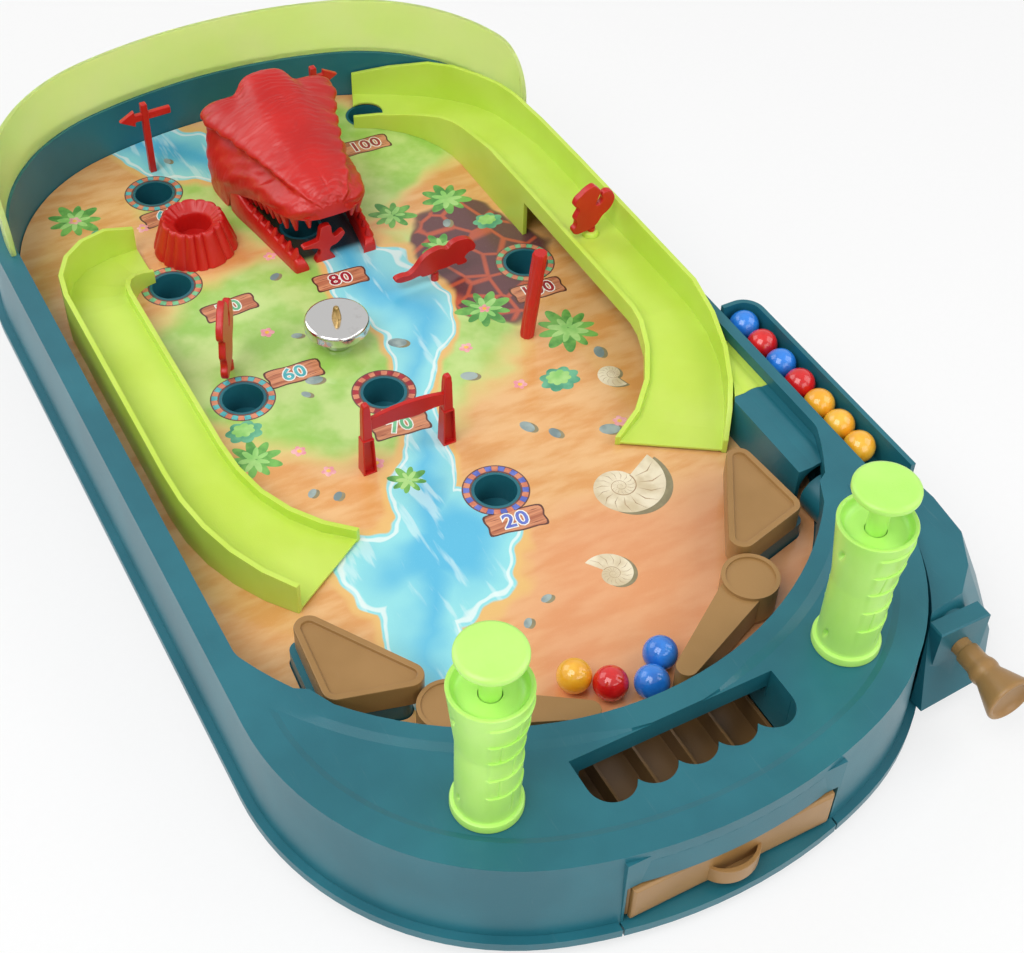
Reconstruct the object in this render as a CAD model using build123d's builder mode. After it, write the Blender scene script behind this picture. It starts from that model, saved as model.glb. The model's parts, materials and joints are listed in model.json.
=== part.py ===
from build123d import *
import math
import os

os.makedirs("parts", exist_ok=True)

# A tabletop pinball game: a tray with a sunk playfield, two flippers worked by tall push buttons,
# two ramps, a ball trough with a sprung plunger, and a drawer that catches the drained balls.
# Millimetres. X runs to the player's right, Y to the back and Z up from the tray's foot.
# Every piece is drawn with the tray level and then takes the game's slope in keep().

# Cuts run past the faces that they open by this much.
overrun = 2.0

# Fits
running_gap = 0.1
side_gap = 0.4
free_gap = 0.6

# Tray
tray_half_width = 113.0
tray_back = 173.4
front_centre = -75.0
front_bulge = 49.0
front_corner_radius = 90.0
back_radius = 196.5
back_corner_radius = 81.5
flange_height = 3.4
flange_width = 2.6
lip_base = 30.0
lip_height = 5.0
lip_inset = 4.0
wall = 2.2
deck_thickness = 2.5
cover_thickness = 2.0
panel_border = 1.9
panel_inset = 6.6
recess_depth = 0.8
recess_margin = 8.0
recess_inset = 10.5
recess_length = 94.0
seam_width = 0.6
seam_margin = 2.2

# Basin that holds the playfield
left_rim = 11.5
right_rim = 8.0
rim_width = 9.75
front_deck = 49.5
basin_bulge = 8.75
basin_corner_radius = 10.0
floor_thickness = 2.0
floor_base = 11.7
floor_ledge = 1.2
sheet_thickness = 1.0

# Score holes, as shares of the playfield's half width and half length
hole_diameter = 14.5
sleeve = 1.0
cup_floor = 1.2
hole_shares = (
    (0.040, -0.385), (-0.521, 0.067), (-0.083, -0.044), (0.686, 0.188), (-0.390, 0.780), (-0.525, 0.456),
    (0.0315, 0.523),
)
# The hole under the right ramp's end, as shares of the ramp's width and turn
ramp_hole_shares = (0.3735, 0.9224)

# Drain, window and drawer
drawer_width_share = 0.5667
drawer_front_height = 16.0
drawer_base = 3.9
drawer_gap = 0.8
drawer_wall = 1.6
drawer_side_height = 9.5
rib_thickness = 1.0
rib_count = 4
front_overlap = 0.7
front_thickness = 2.2
front_bevel = 1.0
pull_radius = 9.7
pull_depth = 7.0
pull_rise = 3.0
pull_height = 6.2
window_setback = 17.4
window_length = 17.8
scallop_radius = 7.4
skirt_drop = 12.3
skirt_thickness = 1.6
drain_height = 12.3
drain_setback = 9.5
rail_width = 3.0
rail_offset_share = 0.6

# Buttons and their towers
tower_offset = 7.3
tower_setback = 41.0
tower_height = 52.5
tower_base_diameter = 20.6
tower_base_height = 3.0
tower_diameter = 18.0
tower_bore = 14.0
cup_diameter = 23.0
cup_depth = 14.0
cup_wall = 1.3
flare_height = 9.0
cap_diameter = 19.3
cap_height = 2.6
cap_rise = 11.8
cap_dome = 0.8
stem_diameter = 6.0
collar_diameter = 12.0
collar_height = 2.0
collar_drop = 7.3
spring_diameter = 11.6
spring_bore = 7.2
button_travel = 10.0
stem_foot = 13.4

# Flippers, their cranks and push rods
pivot_margin = 50.55
tip_setback = 9.1105
disc_diameter = 18.5
flipper_rise = 1.5
flipper_height = 12.0
blade_height = 10.8
blade_share = 0.778
blade_root_radius = 7.0
blade_tip_radius = 3.4
rest_angle = 28.7
disc_border = 1.4
border_rise = 0.8
shaft_diameter = 6.0
crank_radius = 13.0
crank_width = 7.0
crank_drop = 3.1
crank_height = 2.2
pin_diameter = 3.0
rod_height = 4.2
rod_width = 5.0
yoke_length = 9.0
yoke_width = 10.0
yoke_slot = 5.6
wedge_width = 9.0
wedge_length = 15.0
wedge_foot = 8.5
rod_setback = 11.0

# Slingshots, as corners' distances from the basin's side and front
sling_corners = ((22.55, 85.5), (19.35, 44.3), (54.75, 35.0))
sling_corner_radius = 4.5
sling_base_inset = 1.0
sling_base_shift = 3.0
sling_rise = 6.3
sling_height = 9.3
sling_border = 2.2
sling_recess = 1.2

# Ramps
ramp_width = 24.5
ramp_wall = 1.8
ramp_floor = 1.0
ramp_rib = 0.6
ramp_lip = 1.5
inner_wall_height = 5.6
outer_wall_height = 12.0
basin_gap = 0.7
bridge_rise = 15.6
right_turn_angle = 67.0
bridge_top_y_share = 0.4381
bridge_back_y_share = 0.2730
right_outer_bend = 87.0
right_outer_bend_y_share = -0.1884
right_outer_angle = 39.5
right_inner_bend = 39.0
right_inner_bend_y_share = -0.1713
right_inner_angle = 73.0
left_gap = 6.7
left_rise = 7.6
left_turn_y_share = 0.3840
left_turn_reach_share = 0.3661
left_outer_lift = 39.0
left_inner_lift = 17.1
left_outer_bend = 84.9
left_outer_bend_y_share = -0.1713
left_outer_angle = 41.4
left_inner_bend = 57.6
left_inner_bend_y_share = -0.1029
left_inner_angle = 57.6
# Station by station: shares of the inner and the outer bend, of the rise, of the inner and the outer wall
right_turn_shares = (
    (1.00, 1.00, 0.01, 0.65, 0.80), (0.81, 0.81, 0.04, 0.85, 1.10), (0.60, 0.60, 0.17, 0.90, 1.35),
    (0.45, 0.45, 0.30, 0.95, 1.35), (0.29, 0.29, 0.46, 1.00, 1.25), (0.14, 0.14, 0.60, 1.00, 1.22),
    (0.00, 0.00, 0.70, 1.00, 1.22),
)
right_bend_shares = (
    (0.12, 0.25, 0.92, 1.00, 0.82), (0.30, 0.50, 0.76, 0.70, 0.75), (0.52, 0.72, 0.48, 0.60, 0.82),
    (0.76, 0.88, 0.17, 0.65, 0.84), (1.00, 1.00, 0.01, 0.40, 0.35),
)
left_turn_shares = (
    (1.00, 1.00, 0.02, 0.65, 0.80), (0.80, 0.80, 0.15, 0.75, 1.08), (0.60, 0.60, 0.42, 0.75, 1.10),
    (0.40, 0.40, 0.68, 0.75, 1.08), (0.20, 0.20, 0.88, 0.75, 1.04), (0.00, 0.00, 1.00, 0.75, 1.00),
)
left_bend_shares = (
    (0.20, 0.20, 0.86, 0.70, 0.97), (0.40, 0.40, 0.62, 0.65, 0.96), (0.60, 0.60, 0.36, 0.72, 0.96),
    (0.80, 0.80, 0.15, 0.75, 0.95), (1.00, 1.00, 0.02, 0.70, 0.92),
)
bridge_top_share = 0.97

# Back fence
fence_height = 23.5
fence_thickness = 2.0
fence_setback = 1.0
fence_length = 88.4
fence_corner = 20.0

# Ball launcher
ball_diameter = 11.0
lane_radius = 6.0
lane_wall = 1.4
arch_radius = 7.4
arch_rise = 8.1
lane_cover_length = 39.5
collar_length = 25.4
barrel_bore = 12.4
barrel_wall = 1.8
barrel_reach = 15.0
barrel_length = 73.0
mouth_size = 19.0
mouth_thickness = 6.0
trough_setback = 182.0
trough_length = 93.0
trough_rise = 9.3
trough_corner = 6.0
trough_width = 11.6
trough_wall = 1.8
trough_floor = 2.2
housing_base = 3.8
feed_length = 14.0
feed_room = 16.0
feed_height = 12.3
trough_pitch_share = 1.035
# Corners of the rock beside the tray, out from its side and back from the trough's front
rock_base_corners = (
    (-16.0, 12.0), (11.0, 12.0), (19.0, -10.0), (21.0, -29.0), (10.0, -49.0), (-5.0, -63.0), (-30.0, -64.5),
    (-31.0, -42.0),
)
rock_top_corners = (
    (-16.0, 9.0), (8.0, 9.0), (9.5, -12.0), (8.0, -28.0), (1.0, -40.0), (-8.0, -48.0), (-22.0, -50.0),
    (-27.0, -40.0),
)
rock_drop = 4.0
rod_diameter = 6.4
head_diameter = 11.6
head_length = 5.0
knob_gap = 3.0
knob_length = 21.0
knob_neck_diameter = 7.8
knob_ring_diameter = 9.4
knob_diameter = 16.4
plunger_spring_diameter = 10.4
plunger_spring_bore = 7.2

# Bumper
bumper_shares = (-0.114, 0.136)
bell_diameter = 23.6
bell_height = 4.6
bell_rise = 6.9
bumper_collar_diameter = 11.5
tip_diameter = 4.6
tip_height = 5.0
tip_slot = 1.0
bell_edge = 0.9

# Volcano
volcano_shares = (-0.3627, 0.5612)
volcano_share = 0.31
volcano_top_share = 0.73
volcano_height = 13.8
crater_share = 0.53
crater_depth = 7.0
flute_count = 18
flute_share = 0.93

# Head over the mouth hole: distance behind the snout, half width, top and underside of each section
head_shares = (0.0654, 0.7742)
head_length_y = 68.5
head_width_share = 0.2712
head_height = 47.0
head_section_shares = (
    (0.00, 0.80, 0.86, 0.00), (0.13, 1.00, 1.00, 0.00), (0.36, 1.00, 0.95, 0.00), (0.60, 0.84, 0.83, 0.21),
    (0.82, 0.66, 0.75, 0.34), (1.00, 0.50, 0.64, 0.43),
)
mouth_width_share = 0.7143
mouth_front_share = 0.3214
mouth_height = 21.0
mouth_front_height = 20.0
mouth_depth = 46.0
jaw_height = 7.0
jaw_width = 5.0
jaw_setback = 28.0
jaw_length = 42.5
jaw_back_share = 0.815
jaw_front_share = 0.6
jaw_tooth_run = 29.0
jaw_tooth_diameter = 2.6
jaw_tooth_height = 3.0
jaw_tooth_count = 4

# Scenery that stands on the playfield
figure_thickness = 2.0
peg_diameter = 7.0
peg_height = 2.0
flat_figure_shares = (0.343, 0.225)
flat_figure_length = 34.0
flat_figure_height = 14.0
thin_figure_shares = (-0.503, 0.161)
thin_figure_length = 22.0
thin_figure_height = 30.0
thin_figure_turn = 60.0
ramp_figure_length = 17.5
ramp_figure_height = 21.0
ramp_figure_y_share = 0.1049
mouth_figure_shares = (0.0315, 0.3954)
mouth_figure_length = 17.0
mouth_figure_height = 14.0
long_neck_outline_shares = (
    (0.00, 0.42), (0.10, 0.34), (0.30, 0.46), (0.42, 0.44), (0.42, 0.00), (0.50, 0.00), (0.53, 0.32),
    (0.68, 0.32), (0.68, 0.00), (0.76, 0.00), (0.79, 0.42), (0.88, 0.86), (1.00, 0.88), (0.98, 1.00),
    (0.84, 1.00), (0.72, 0.66), (0.50, 0.74), (0.26, 0.60),
)
upright_outline_shares = (
    (0.00, 0.30), (0.24, 0.24), (0.36, 0.00), (0.56, 0.00), (0.54, 0.30), (0.62, 0.48), (0.82, 0.46),
    (0.66, 0.58), (0.70, 0.70), (1.00, 0.78), (0.92, 0.96), (0.58, 1.00), (0.46, 0.78), (0.36, 0.52),
)
plant_outline_shares = (
    (0.42, 0.00), (0.58, 0.00), (0.60, 0.34), (0.82, 0.30), (1.00, 0.62), (0.84, 0.58), (0.62, 0.60),
    (0.58, 1.00), (0.42, 1.00), (0.38, 0.70), (0.14, 0.78), (0.00, 0.50), (0.18, 0.46), (0.40, 0.50),
)
log_shares = (0.495, -0.024)
log_height = 37.0
log_diameter = 5.4
log_lean = 4.0
gate_left_shares = (-0.289, -0.226)
gate_right_shares = (0.003, -0.223)
gate_height = 31.0
gate_foot = 5.0
gate_peak = 2.4
banner_rise_share = 0.58
banner_height = 5.2
banner_sag = 0.4
banner_crown = 1.9
banner_thickness = 1.4
left_sign_shares = (-0.341, 0.863)
right_sign_shares = (0.332, 0.831)
sign_height = 32.0
sign_post = 2.6
arm_length = 21.0
arm_height = 7.0
arm_rise_share = 0.82

# Balls lying in front of the drain: across from the middle, back from the line of the nearer blade
struck_yellow = (-11.9, 19.3374)
struck_red = (-3.6, 16.4815)
struck_blue = (15.6, 12.7117)
resting_blue = (7.6, 8.9916)

# Fasteners, feet and slope
screw_shares = ((-0.80, -0.30), (0.80, -0.30), (-0.80, 0.32), (0.62, 0.32), (0.0, 0.90), (0.18, -0.62))
boss_diameter = 7.0
screw_diameter = 2.5
screw_clearance = 3.2
screw_head_diameter = 6.0
screw_head_height = 1.5
screw_length = 7.0
foot_setback = 49.0
foot_margin = 43.0
foot_width = 12.0
foot_height = 7.0
leg_setback = 45.4
leg_size = 16.0
slope_angle = 3.3

# Worked-out heights and places
front_radius = tray_half_width + front_bulge
tray_front = front_centre - front_radius
rim_top = lip_base + lip_height
deck_under = rim_top - deck_thickness
deck_top = rim_top - recess_depth
floor_top = floor_base + floor_thickness
field = floor_top + sheet_thickness
ball_radius = ball_diameter / 2
ball_rest = field + ball_radius
trough_bed = field + trough_rise
basin_half_width = tray_half_width - (left_rim + right_rim) / 2
basin_shift = (left_rim - right_rim) / 2
basin_right = basin_shift + basin_half_width
field_back = tray_back - rim_width
field_front = tray_front + front_deck
field_middle = (field_back + field_front) / 2
field_half_length = (field_back - field_front) / 2
basin_front_radius = basin_half_width + basin_bulge
basin_front_centre = field_front + basin_front_radius
turn_y = tray_back - back_radius + math.sqrt(
    (back_radius - back_corner_radius) ** 2 - (tray_half_width - back_corner_radius) ** 2
)
turn_x = basin_shift + tray_half_width - back_corner_radius
ramp_outer_x = basin_right - basin_gap
ramp_inner_x = ramp_outer_x - ramp_width
left_outer_x = basin_shift - basin_half_width + left_gap
left_inner_x = left_outer_x + ramp_width
left_end_x = left_outer_x + left_turn_reach_share * basin_half_width
pivot_x = basin_half_width - pivot_margin
flipper_base = field + flipper_rise
flipper_top = flipper_base + flipper_height
blade_top = flipper_base + blade_height
blade_reach = blade_share * pivot_x
blade_tip_x = pivot_x - blade_reach * math.cos(math.radians(rest_angle))
pivot_y = field_front + tip_setback + blade_reach * math.sin(math.radians(rest_angle))
crank_angle = math.degrees(math.asin(button_travel / (2 * crank_radius)))
crank_base = floor_base - crank_drop
sling_foot = field + sling_rise
sling_top = sling_foot + sling_height
tower_x = pivot_x + tower_offset
tower_y = tray_front + tower_setback
tower_top = deck_top + tower_height
cup_bottom = tower_top - cup_depth
collar_base = cup_bottom - wall - collar_drop - collar_height
cap_base = tower_top + cap_rise
rod_cross_y = tower_y + rod_setback
drawer_half_width = drawer_width_share * tower_x
panel_half_width = drawer_half_width + panel_border
panel_face = tray_front + panel_inset
drawer_front = panel_face + wall + front_overlap - front_thickness
drain_back = field_front + drain_setback
drawer_depth = drain_back - drawer_gap - drawer_front - front_thickness
bay_pitch = 2 * (drawer_half_width - drawer_wall / 2) / (rib_count + 1)
window_front = panel_face + window_setback
window_back = window_front + window_length
scallop_y = window_front + scallop_radius
skirt_base = deck_top - skirt_drop
seam_x = drawer_half_width + seam_margin
seam_y = front_centre - math.sqrt(front_radius**2 - seam_x**2)
trough_back = tray_front + trough_setback
trough_front = trough_back - trough_length
trough_inner = tray_half_width - flange_width
trough_outer = trough_inner + trough_width
barrel_back = trough_front + barrel_reach
housing_front = barrel_back - barrel_length
lane_x = basin_right - lane_radius
lane_front = barrel_back + overrun
lane_back = lane_front + lane_cover_length
head_half_width = head_width_share * basin_half_width
volcano_diameter = volcano_share * basin_half_width
bell_base = field + bell_rise
foot_y = tray_front + foot_setback
foot_half_length = tray_half_width - foot_margin
leg_x = tray_half_width - foot_margin
leg_y = tray_back - leg_setback
slope = Location((0, 0, 0), (slope_angle, 0, 0)) * Location((0, -foot_y, foot_height))
ground = Plane(
    origin=(0, foot_y, -foot_height),
    z_dir=(0, math.sin(math.radians(slope_angle)), math.cos(math.radians(slope_angle))),
)


def keep(piece, name):
    """Gives a finished piece the slope of the standing game, and writes it."""
    standing = piece.part.moved(slope)
    standing.label = name
    export_step(standing, f"parts/{name}.step")


def place(shares):
    """A point of the playfield from shares of its half width and half length."""
    return (
        basin_shift + basin_half_width * shares[0],
        field_middle + field_half_length * shares[1],
    )


def ring_point(centre, radius, angle):
    return (centre[0] + radius * math.cos(angle), centre[1] + radius * math.sin(angle))


def draw_arc(centre, radius, start, stop):
    middle = (start + stop) / 2
    ThreePointArc(
        ring_point(centre, radius, start),
        ring_point(centre, radius, middle),
        ring_point(centre, radius, stop),
    )


def draw_outline(shift, half, front_y, front_r, corner_r, back_y, back_r, back_corner_r):
    """A wide front arc and a wide back arc, each joined to straight sides by rounder corners."""
    front_x = half - corner_r
    front_drop = math.sqrt((front_r - corner_r) ** 2 - front_x**2)
    front_angle = math.atan2(-front_drop, front_x)
    back_x = half - back_corner_r
    back_lift = math.sqrt((back_r - back_corner_r) ** 2 - back_x**2)
    back_angle = math.atan2(back_lift, back_x)
    front_low = front_y - front_drop
    back_high = back_y - back_r + back_lift
    draw_arc((shift, front_y), front_r, -math.pi - front_angle, front_angle)
    draw_arc((shift + front_x, front_low), corner_r, front_angle, 0)
    Line((shift + half, front_low), (shift + half, back_high))
    draw_arc((shift + back_x, back_high), back_corner_r, 0, back_angle)
    draw_arc((shift, back_y - back_r), back_r, back_angle, math.pi - back_angle)
    draw_arc((shift - back_x, back_high), back_corner_r, math.pi - back_angle, math.pi)
    Line((shift - half, back_high), (shift - half, front_low))
    draw_arc((shift - front_x, front_low), corner_r, math.pi, math.pi - front_angle)


def draw_tray(inset):
    draw_outline(
        0,
        tray_half_width - inset,
        front_centre,
        front_radius - inset,
        front_corner_radius - inset,
        tray_back - inset,
        back_radius - inset,
        back_corner_radius - inset,
    )


def draw_basin(grow):
    draw_outline(
        basin_shift,
        basin_half_width + grow,
        basin_front_centre,
        basin_front_radius + grow,
        basin_corner_radius + grow,
        field_back + grow,
        back_radius - rim_width + grow,
        back_corner_radius - rim_width + grow,
    )


turn_centre = (turn_x, turn_y)
ramp_hole = ring_point(
    turn_centre,
    ramp_inner_x - turn_x + ramp_width * ramp_hole_shares[0],
    math.radians(right_turn_angle * ramp_hole_shares[1]),
)
hole_places = [place(shares) for shares in hole_shares] + [ramp_hole]


def field_y(share):
    return field_middle + field_half_length * share


def sling_points(side, shift):
    return [(side * (basin_half_width - across + shift), field_front + back) for across, back in sling_corners]


def rock_points(corners):
    return [(tray_half_width + out, trough_front + back) for out, back in corners]


def lane_plane(y):
    """Upright plane across the launch lane, its middle on the ball's path."""
    return Plane(origin=(lane_x, y, ball_rest), x_dir=(1, 0, 0), z_dir=(0, -1, 0))


def figure_points(shares, length, height):
    return [(length * (x - 1 / 2), height * y) for x, y in shares]


# Tray
with BuildPart() as upper_shell:
    with BuildSketch():
        with BuildLine():
            draw_tray(0)
        make_face()
    extrude(amount=flange_height)
    with BuildSketch(Plane.XY.offset(flange_height)):
        with BuildLine():
            draw_tray(flange_width)
        make_face()
    with BuildSketch(Plane.XY.offset(lip_base)):
        with BuildLine():
            draw_tray(lip_inset)
        make_face()
    loft(ruled=True)
    with BuildSketch(Plane.XY.offset(lip_base)):
        with BuildLine():
            draw_tray(lip_inset)
        make_face()
    extrude(amount=lip_height)
    # Hollow below the deck, then the basin's own wall and its opening
    with BuildSketch():
        with BuildLine():
            draw_tray(lip_inset + wall)
        make_face()
    extrude(amount=deck_under, mode=Mode.SUBTRACT)
    with BuildSketch(Plane.XY.offset(floor_top)):
        with BuildLine():
            draw_basin(wall)
        make_face()
    extrude(amount=rim_top - floor_top)
    with BuildSketch(Plane.XY.offset(floor_top)):
        with BuildLine():
            draw_basin(0)
        make_face()
    extrude(amount=rim_top - floor_top + overrun, mode=Mode.SUBTRACT)
    # Flat panel round the drawer
    with BuildSketch(Plane.XY.offset(flange_height)):
        with Locations((0, panel_face + wall / 2)):
            Rectangle(2 * panel_half_width, wall)
    extrude(amount=deck_under - flange_height)
    with BuildSketch(Plane.XY.offset(flange_height)):
        with Locations((0, panel_face - front_radius / 2)):
            Rectangle(2 * (panel_half_width - wall), front_radius)
    extrude(amount=lip_base - flange_height, mode=Mode.SUBTRACT)
    with BuildSketch(Plane.XY.offset(flange_height + running_gap)):
        with Locations((0, panel_face)):
            Rectangle(2 * (drawer_half_width + side_gap + front_overlap), 2 * (wall + overrun))
    extrude(amount=drawer_base + drawer_front_height + side_gap - flange_height, mode=Mode.SUBTRACT)
    # Shallow bed across the front deck
    with BuildSketch(Plane.XY.offset(deck_top)):
        with BuildLine():
            draw_tray(lip_inset + recess_inset)
        make_face()
        with Locations((basin_shift, basin_front_centre)):
            Circle(basin_front_radius + recess_margin, mode=Mode.SUBTRACT)
        with Locations((0, tray_front + recess_length + front_radius)):
            Rectangle(2 * front_radius, 2 * front_radius, mode=Mode.SUBTRACT)
    extrude(amount=recess_depth + overrun, mode=Mode.SUBTRACT)
    # Window over the drawer, drain through the basin wall, button stems
    with BuildSketch(Plane.XY.offset(skirt_base)):
        with Locations((0, scallop_y)):
            Rectangle(
                2 * (drawer_half_width + skirt_thickness),
                window_back + skirt_thickness - scallop_y,
                align=(Align.CENTER, Align.MIN),
            )
            Rectangle(
                2 * drawer_half_width, window_back - scallop_y, align=(Align.CENTER, Align.MIN), mode=Mode.SUBTRACT
            )
    extrude(amount=deck_under - skirt_base)
    with BuildSketch(Plane.XY.offset(deck_under - overrun)):
        with Locations((0, scallop_y)):
            Rectangle(2 * drawer_half_width, window_back - scallop_y, align=(Align.CENTER, Align.MIN))
            with GridLocations(bay_pitch, 0, rib_count + 1, 1):
                Circle(scallop_radius)
    extrude(amount=deck_thickness + 2 * overrun, mode=Mode.SUBTRACT)
    # Seams in the flange beside the drawer
    with BuildSketch():
        with Locations((-seam_x, seam_y), (seam_x, seam_y)):
            Rectangle(seam_width, 2 * flange_width)
    extrude(amount=flange_height, mode=Mode.SUBTRACT)
    with BuildSketch(Plane.XY.offset(floor_top)):
        with Locations((basin_shift, field_front)):
            Rectangle(2 * (drawer_half_width - overrun), 4 * (wall + overrun))
    extrude(amount=sheet_thickness + drain_height, mode=Mode.SUBTRACT)
    with BuildSketch(Plane.XY.offset(deck_under - overrun)):
        with Locations((-tower_x, tower_y), (tower_x, tower_y)):
            Circle(stem_diameter / 2 + side_gap)
    extrude(amount=deck_thickness + 2 * overrun, mode=Mode.SUBTRACT)
    # Bore for the plunger's barrel and the way from the trough to the lane
    with BuildSketch(lane_plane(barrel_back + 2 * ball_diameter)):
        Circle(barrel_bore / 2 + barrel_wall + side_gap)
    extrude(amount=front_radius, mode=Mode.SUBTRACT)
    with BuildSketch(Plane.XY.offset(field)):
        with Locations((trough_inner, barrel_back - feed_length / 2)):
            Rectangle(4 * (wall + overrun), feed_length)
    extrude(amount=feed_height, mode=Mode.SUBTRACT)
keep(upper_shell, "upper_shell")

with BuildPart() as playfield_floor:
    with BuildSketch(Plane.XY.offset(floor_base)):
        with BuildLine():
            draw_basin(floor_ledge)
        make_face()
    extrude(amount=floor_thickness)
    with BuildSketch(Plane.XY.offset(cover_thickness)):
        with Locations(*[place(shares) for shares in screw_shares]):
            Circle(boss_diameter / 2)
    extrude(amount=floor_base - cover_thickness)
    for side in (-1, 1):
        with BuildSketch(Plane.XY.offset(floor_top)) as base_plan:
            with BuildLine():
                Polyline(*sling_points(side, sling_base_shift), close=True)
            make_face()
            fillet(base_plan.vertices(), sling_corner_radius)
            offset(amount=-sling_base_inset, mode=Mode.REPLACE)
        extrude(amount=sling_foot - floor_top)
    with BuildSketch(Plane.XY.offset(floor_base - overrun)):
        with Locations(*hole_places):
            Circle(hole_diameter / 2 + sleeve + running_gap)
    extrude(amount=floor_thickness + 2 * overrun, mode=Mode.SUBTRACT)
    with BuildSketch(Plane.XY.offset(cover_thickness)):
        with Locations(*[place(shares) for shares in screw_shares]):
            Circle(screw_diameter / 2 + running_gap)
    extrude(amount=screw_length, mode=Mode.SUBTRACT)
    with BuildSketch(Plane.XY.offset(floor_base - overrun)):
        with Locations((-pivot_x, pivot_y), (pivot_x, pivot_y)):
            Circle(shaft_diameter / 2 + running_gap)
    extrude(amount=floor_thickness + 2 * overrun, mode=Mode.SUBTRACT)
    # The floor stops short of the basin's front, so that balls drop into the drawer
    with BuildSketch(Plane.XY.offset(floor_base - overrun)):
        with Locations((0, drain_back)):
            Rectangle(2 * (drawer_half_width + side_gap), front_deck, align=(Align.CENTER, Align.MAX))
    extrude(amount=floor_thickness + 2 * overrun, mode=Mode.SUBTRACT)
keep(playfield_floor, "playfield_floor")

with BuildPart() as score_cups:
    with BuildSketch(Plane.XY.offset(cover_thickness)):
        with Locations(*hole_places):
            Circle(hole_diameter / 2 + sleeve)
    extrude(amount=field - cover_thickness)
    with BuildSketch(Plane.XY.offset(cover_thickness + cup_floor)):
        with Locations(*hole_places):
            Circle(hole_diameter / 2)
    extrude(amount=field, mode=Mode.SUBTRACT)
keep(score_cups, "score_cups")

with BuildPart() as playfield_sheet:
    with BuildSketch(Plane.XY.offset(floor_top)):
        with BuildLine():
            draw_basin(-side_gap)
        make_face()
        with Locations(*hole_places):
            Circle(hole_diameter / 2 + sleeve + running_gap, mode=Mode.SUBTRACT)
        with Locations((-pivot_x, pivot_y), (pivot_x, pivot_y)):
            Circle(shaft_diameter / 2 + side_gap, mode=Mode.SUBTRACT)
        with Locations((0, drain_back)):
            Rectangle(
                2 * (drawer_half_width + side_gap), front_deck, align=(Align.CENTER, Align.MAX), mode=Mode.SUBTRACT
            )
    extrude(amount=sheet_thickness)
    for side in (-1, 1):
        with BuildSketch(Plane.XY.offset(floor_top)) as sheet_gap:
            with BuildLine():
                Polyline(*sling_points(side, sling_base_shift), close=True)
            make_face()
            fillet(sheet_gap.vertices(), sling_corner_radius)
            offset(amount=side_gap - sling_base_inset, mode=Mode.REPLACE)
        extrude(amount=sheet_thickness, mode=Mode.SUBTRACT)
keep(playfield_sheet, "playfield_sheet")

with BuildPart() as bottom_cover:
    with BuildSketch():
        with BuildLine():
            draw_tray(lip_inset + wall + side_gap)
        make_face()
    extrude(amount=cover_thickness)
    # Rails that the drawer slides on
    rail_x = rail_offset_share * drawer_half_width
    rail_y = drawer_front + front_thickness + drawer_depth / 2
    with BuildSketch(Plane.XY.offset(cover_thickness)):
        with Locations((-rail_x, rail_y), (rail_x, rail_y)):
            Rectangle(rail_width, drawer_depth - 2 * rail_width)
    extrude(amount=drawer_base - running_gap - cover_thickness)
    with BuildSketch():
        with Locations(*[place(shares) for shares in screw_shares]):
            Circle(screw_clearance / 2)
    extrude(amount=cover_thickness, mode=Mode.SUBTRACT)
    with BuildSketch():
        with Locations(*[place(shares) for shares in screw_shares]):
            Circle(screw_head_diameter / 2 + running_gap)
    extrude(amount=screw_head_height, mode=Mode.SUBTRACT)
keep(bottom_cover, "bottom_cover")

with BuildPart() as cover_screws:
    with BuildSketch():
        with Locations(*[place(shares) for shares in screw_shares]):
            Circle(screw_head_diameter / 2)
    extrude(amount=screw_head_height)
    with BuildSketch():
        with Locations(*[place(shares) for shares in screw_shares]):
            Circle(screw_diameter / 2)
    extrude(amount=screw_length)
keep(cover_screws, "cover_screws")

# Feet, cut off at the table
with BuildPart() as front_foot:
    with BuildSketch():
        with Locations((0, foot_y)):
            SlotOverall(2 * foot_half_length, foot_width)
    extrude(amount=-2 * foot_height)
    split(bisect_by=ground, keep=Keep.TOP)
keep(front_foot, "front_foot")

with BuildPart() as rear_legs:
    with BuildSketch():
        with Locations((-leg_x, leg_y), (leg_x, leg_y)):
            RectangleRounded(leg_size, leg_size, leg_size / 4)
    extrude(amount=-(foot_height + (leg_y - foot_y) * math.tan(math.radians(slope_angle)) + leg_size))
    split(bisect_by=ground, keep=Keep.TOP)
keep(rear_legs, "rear_legs")

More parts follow.
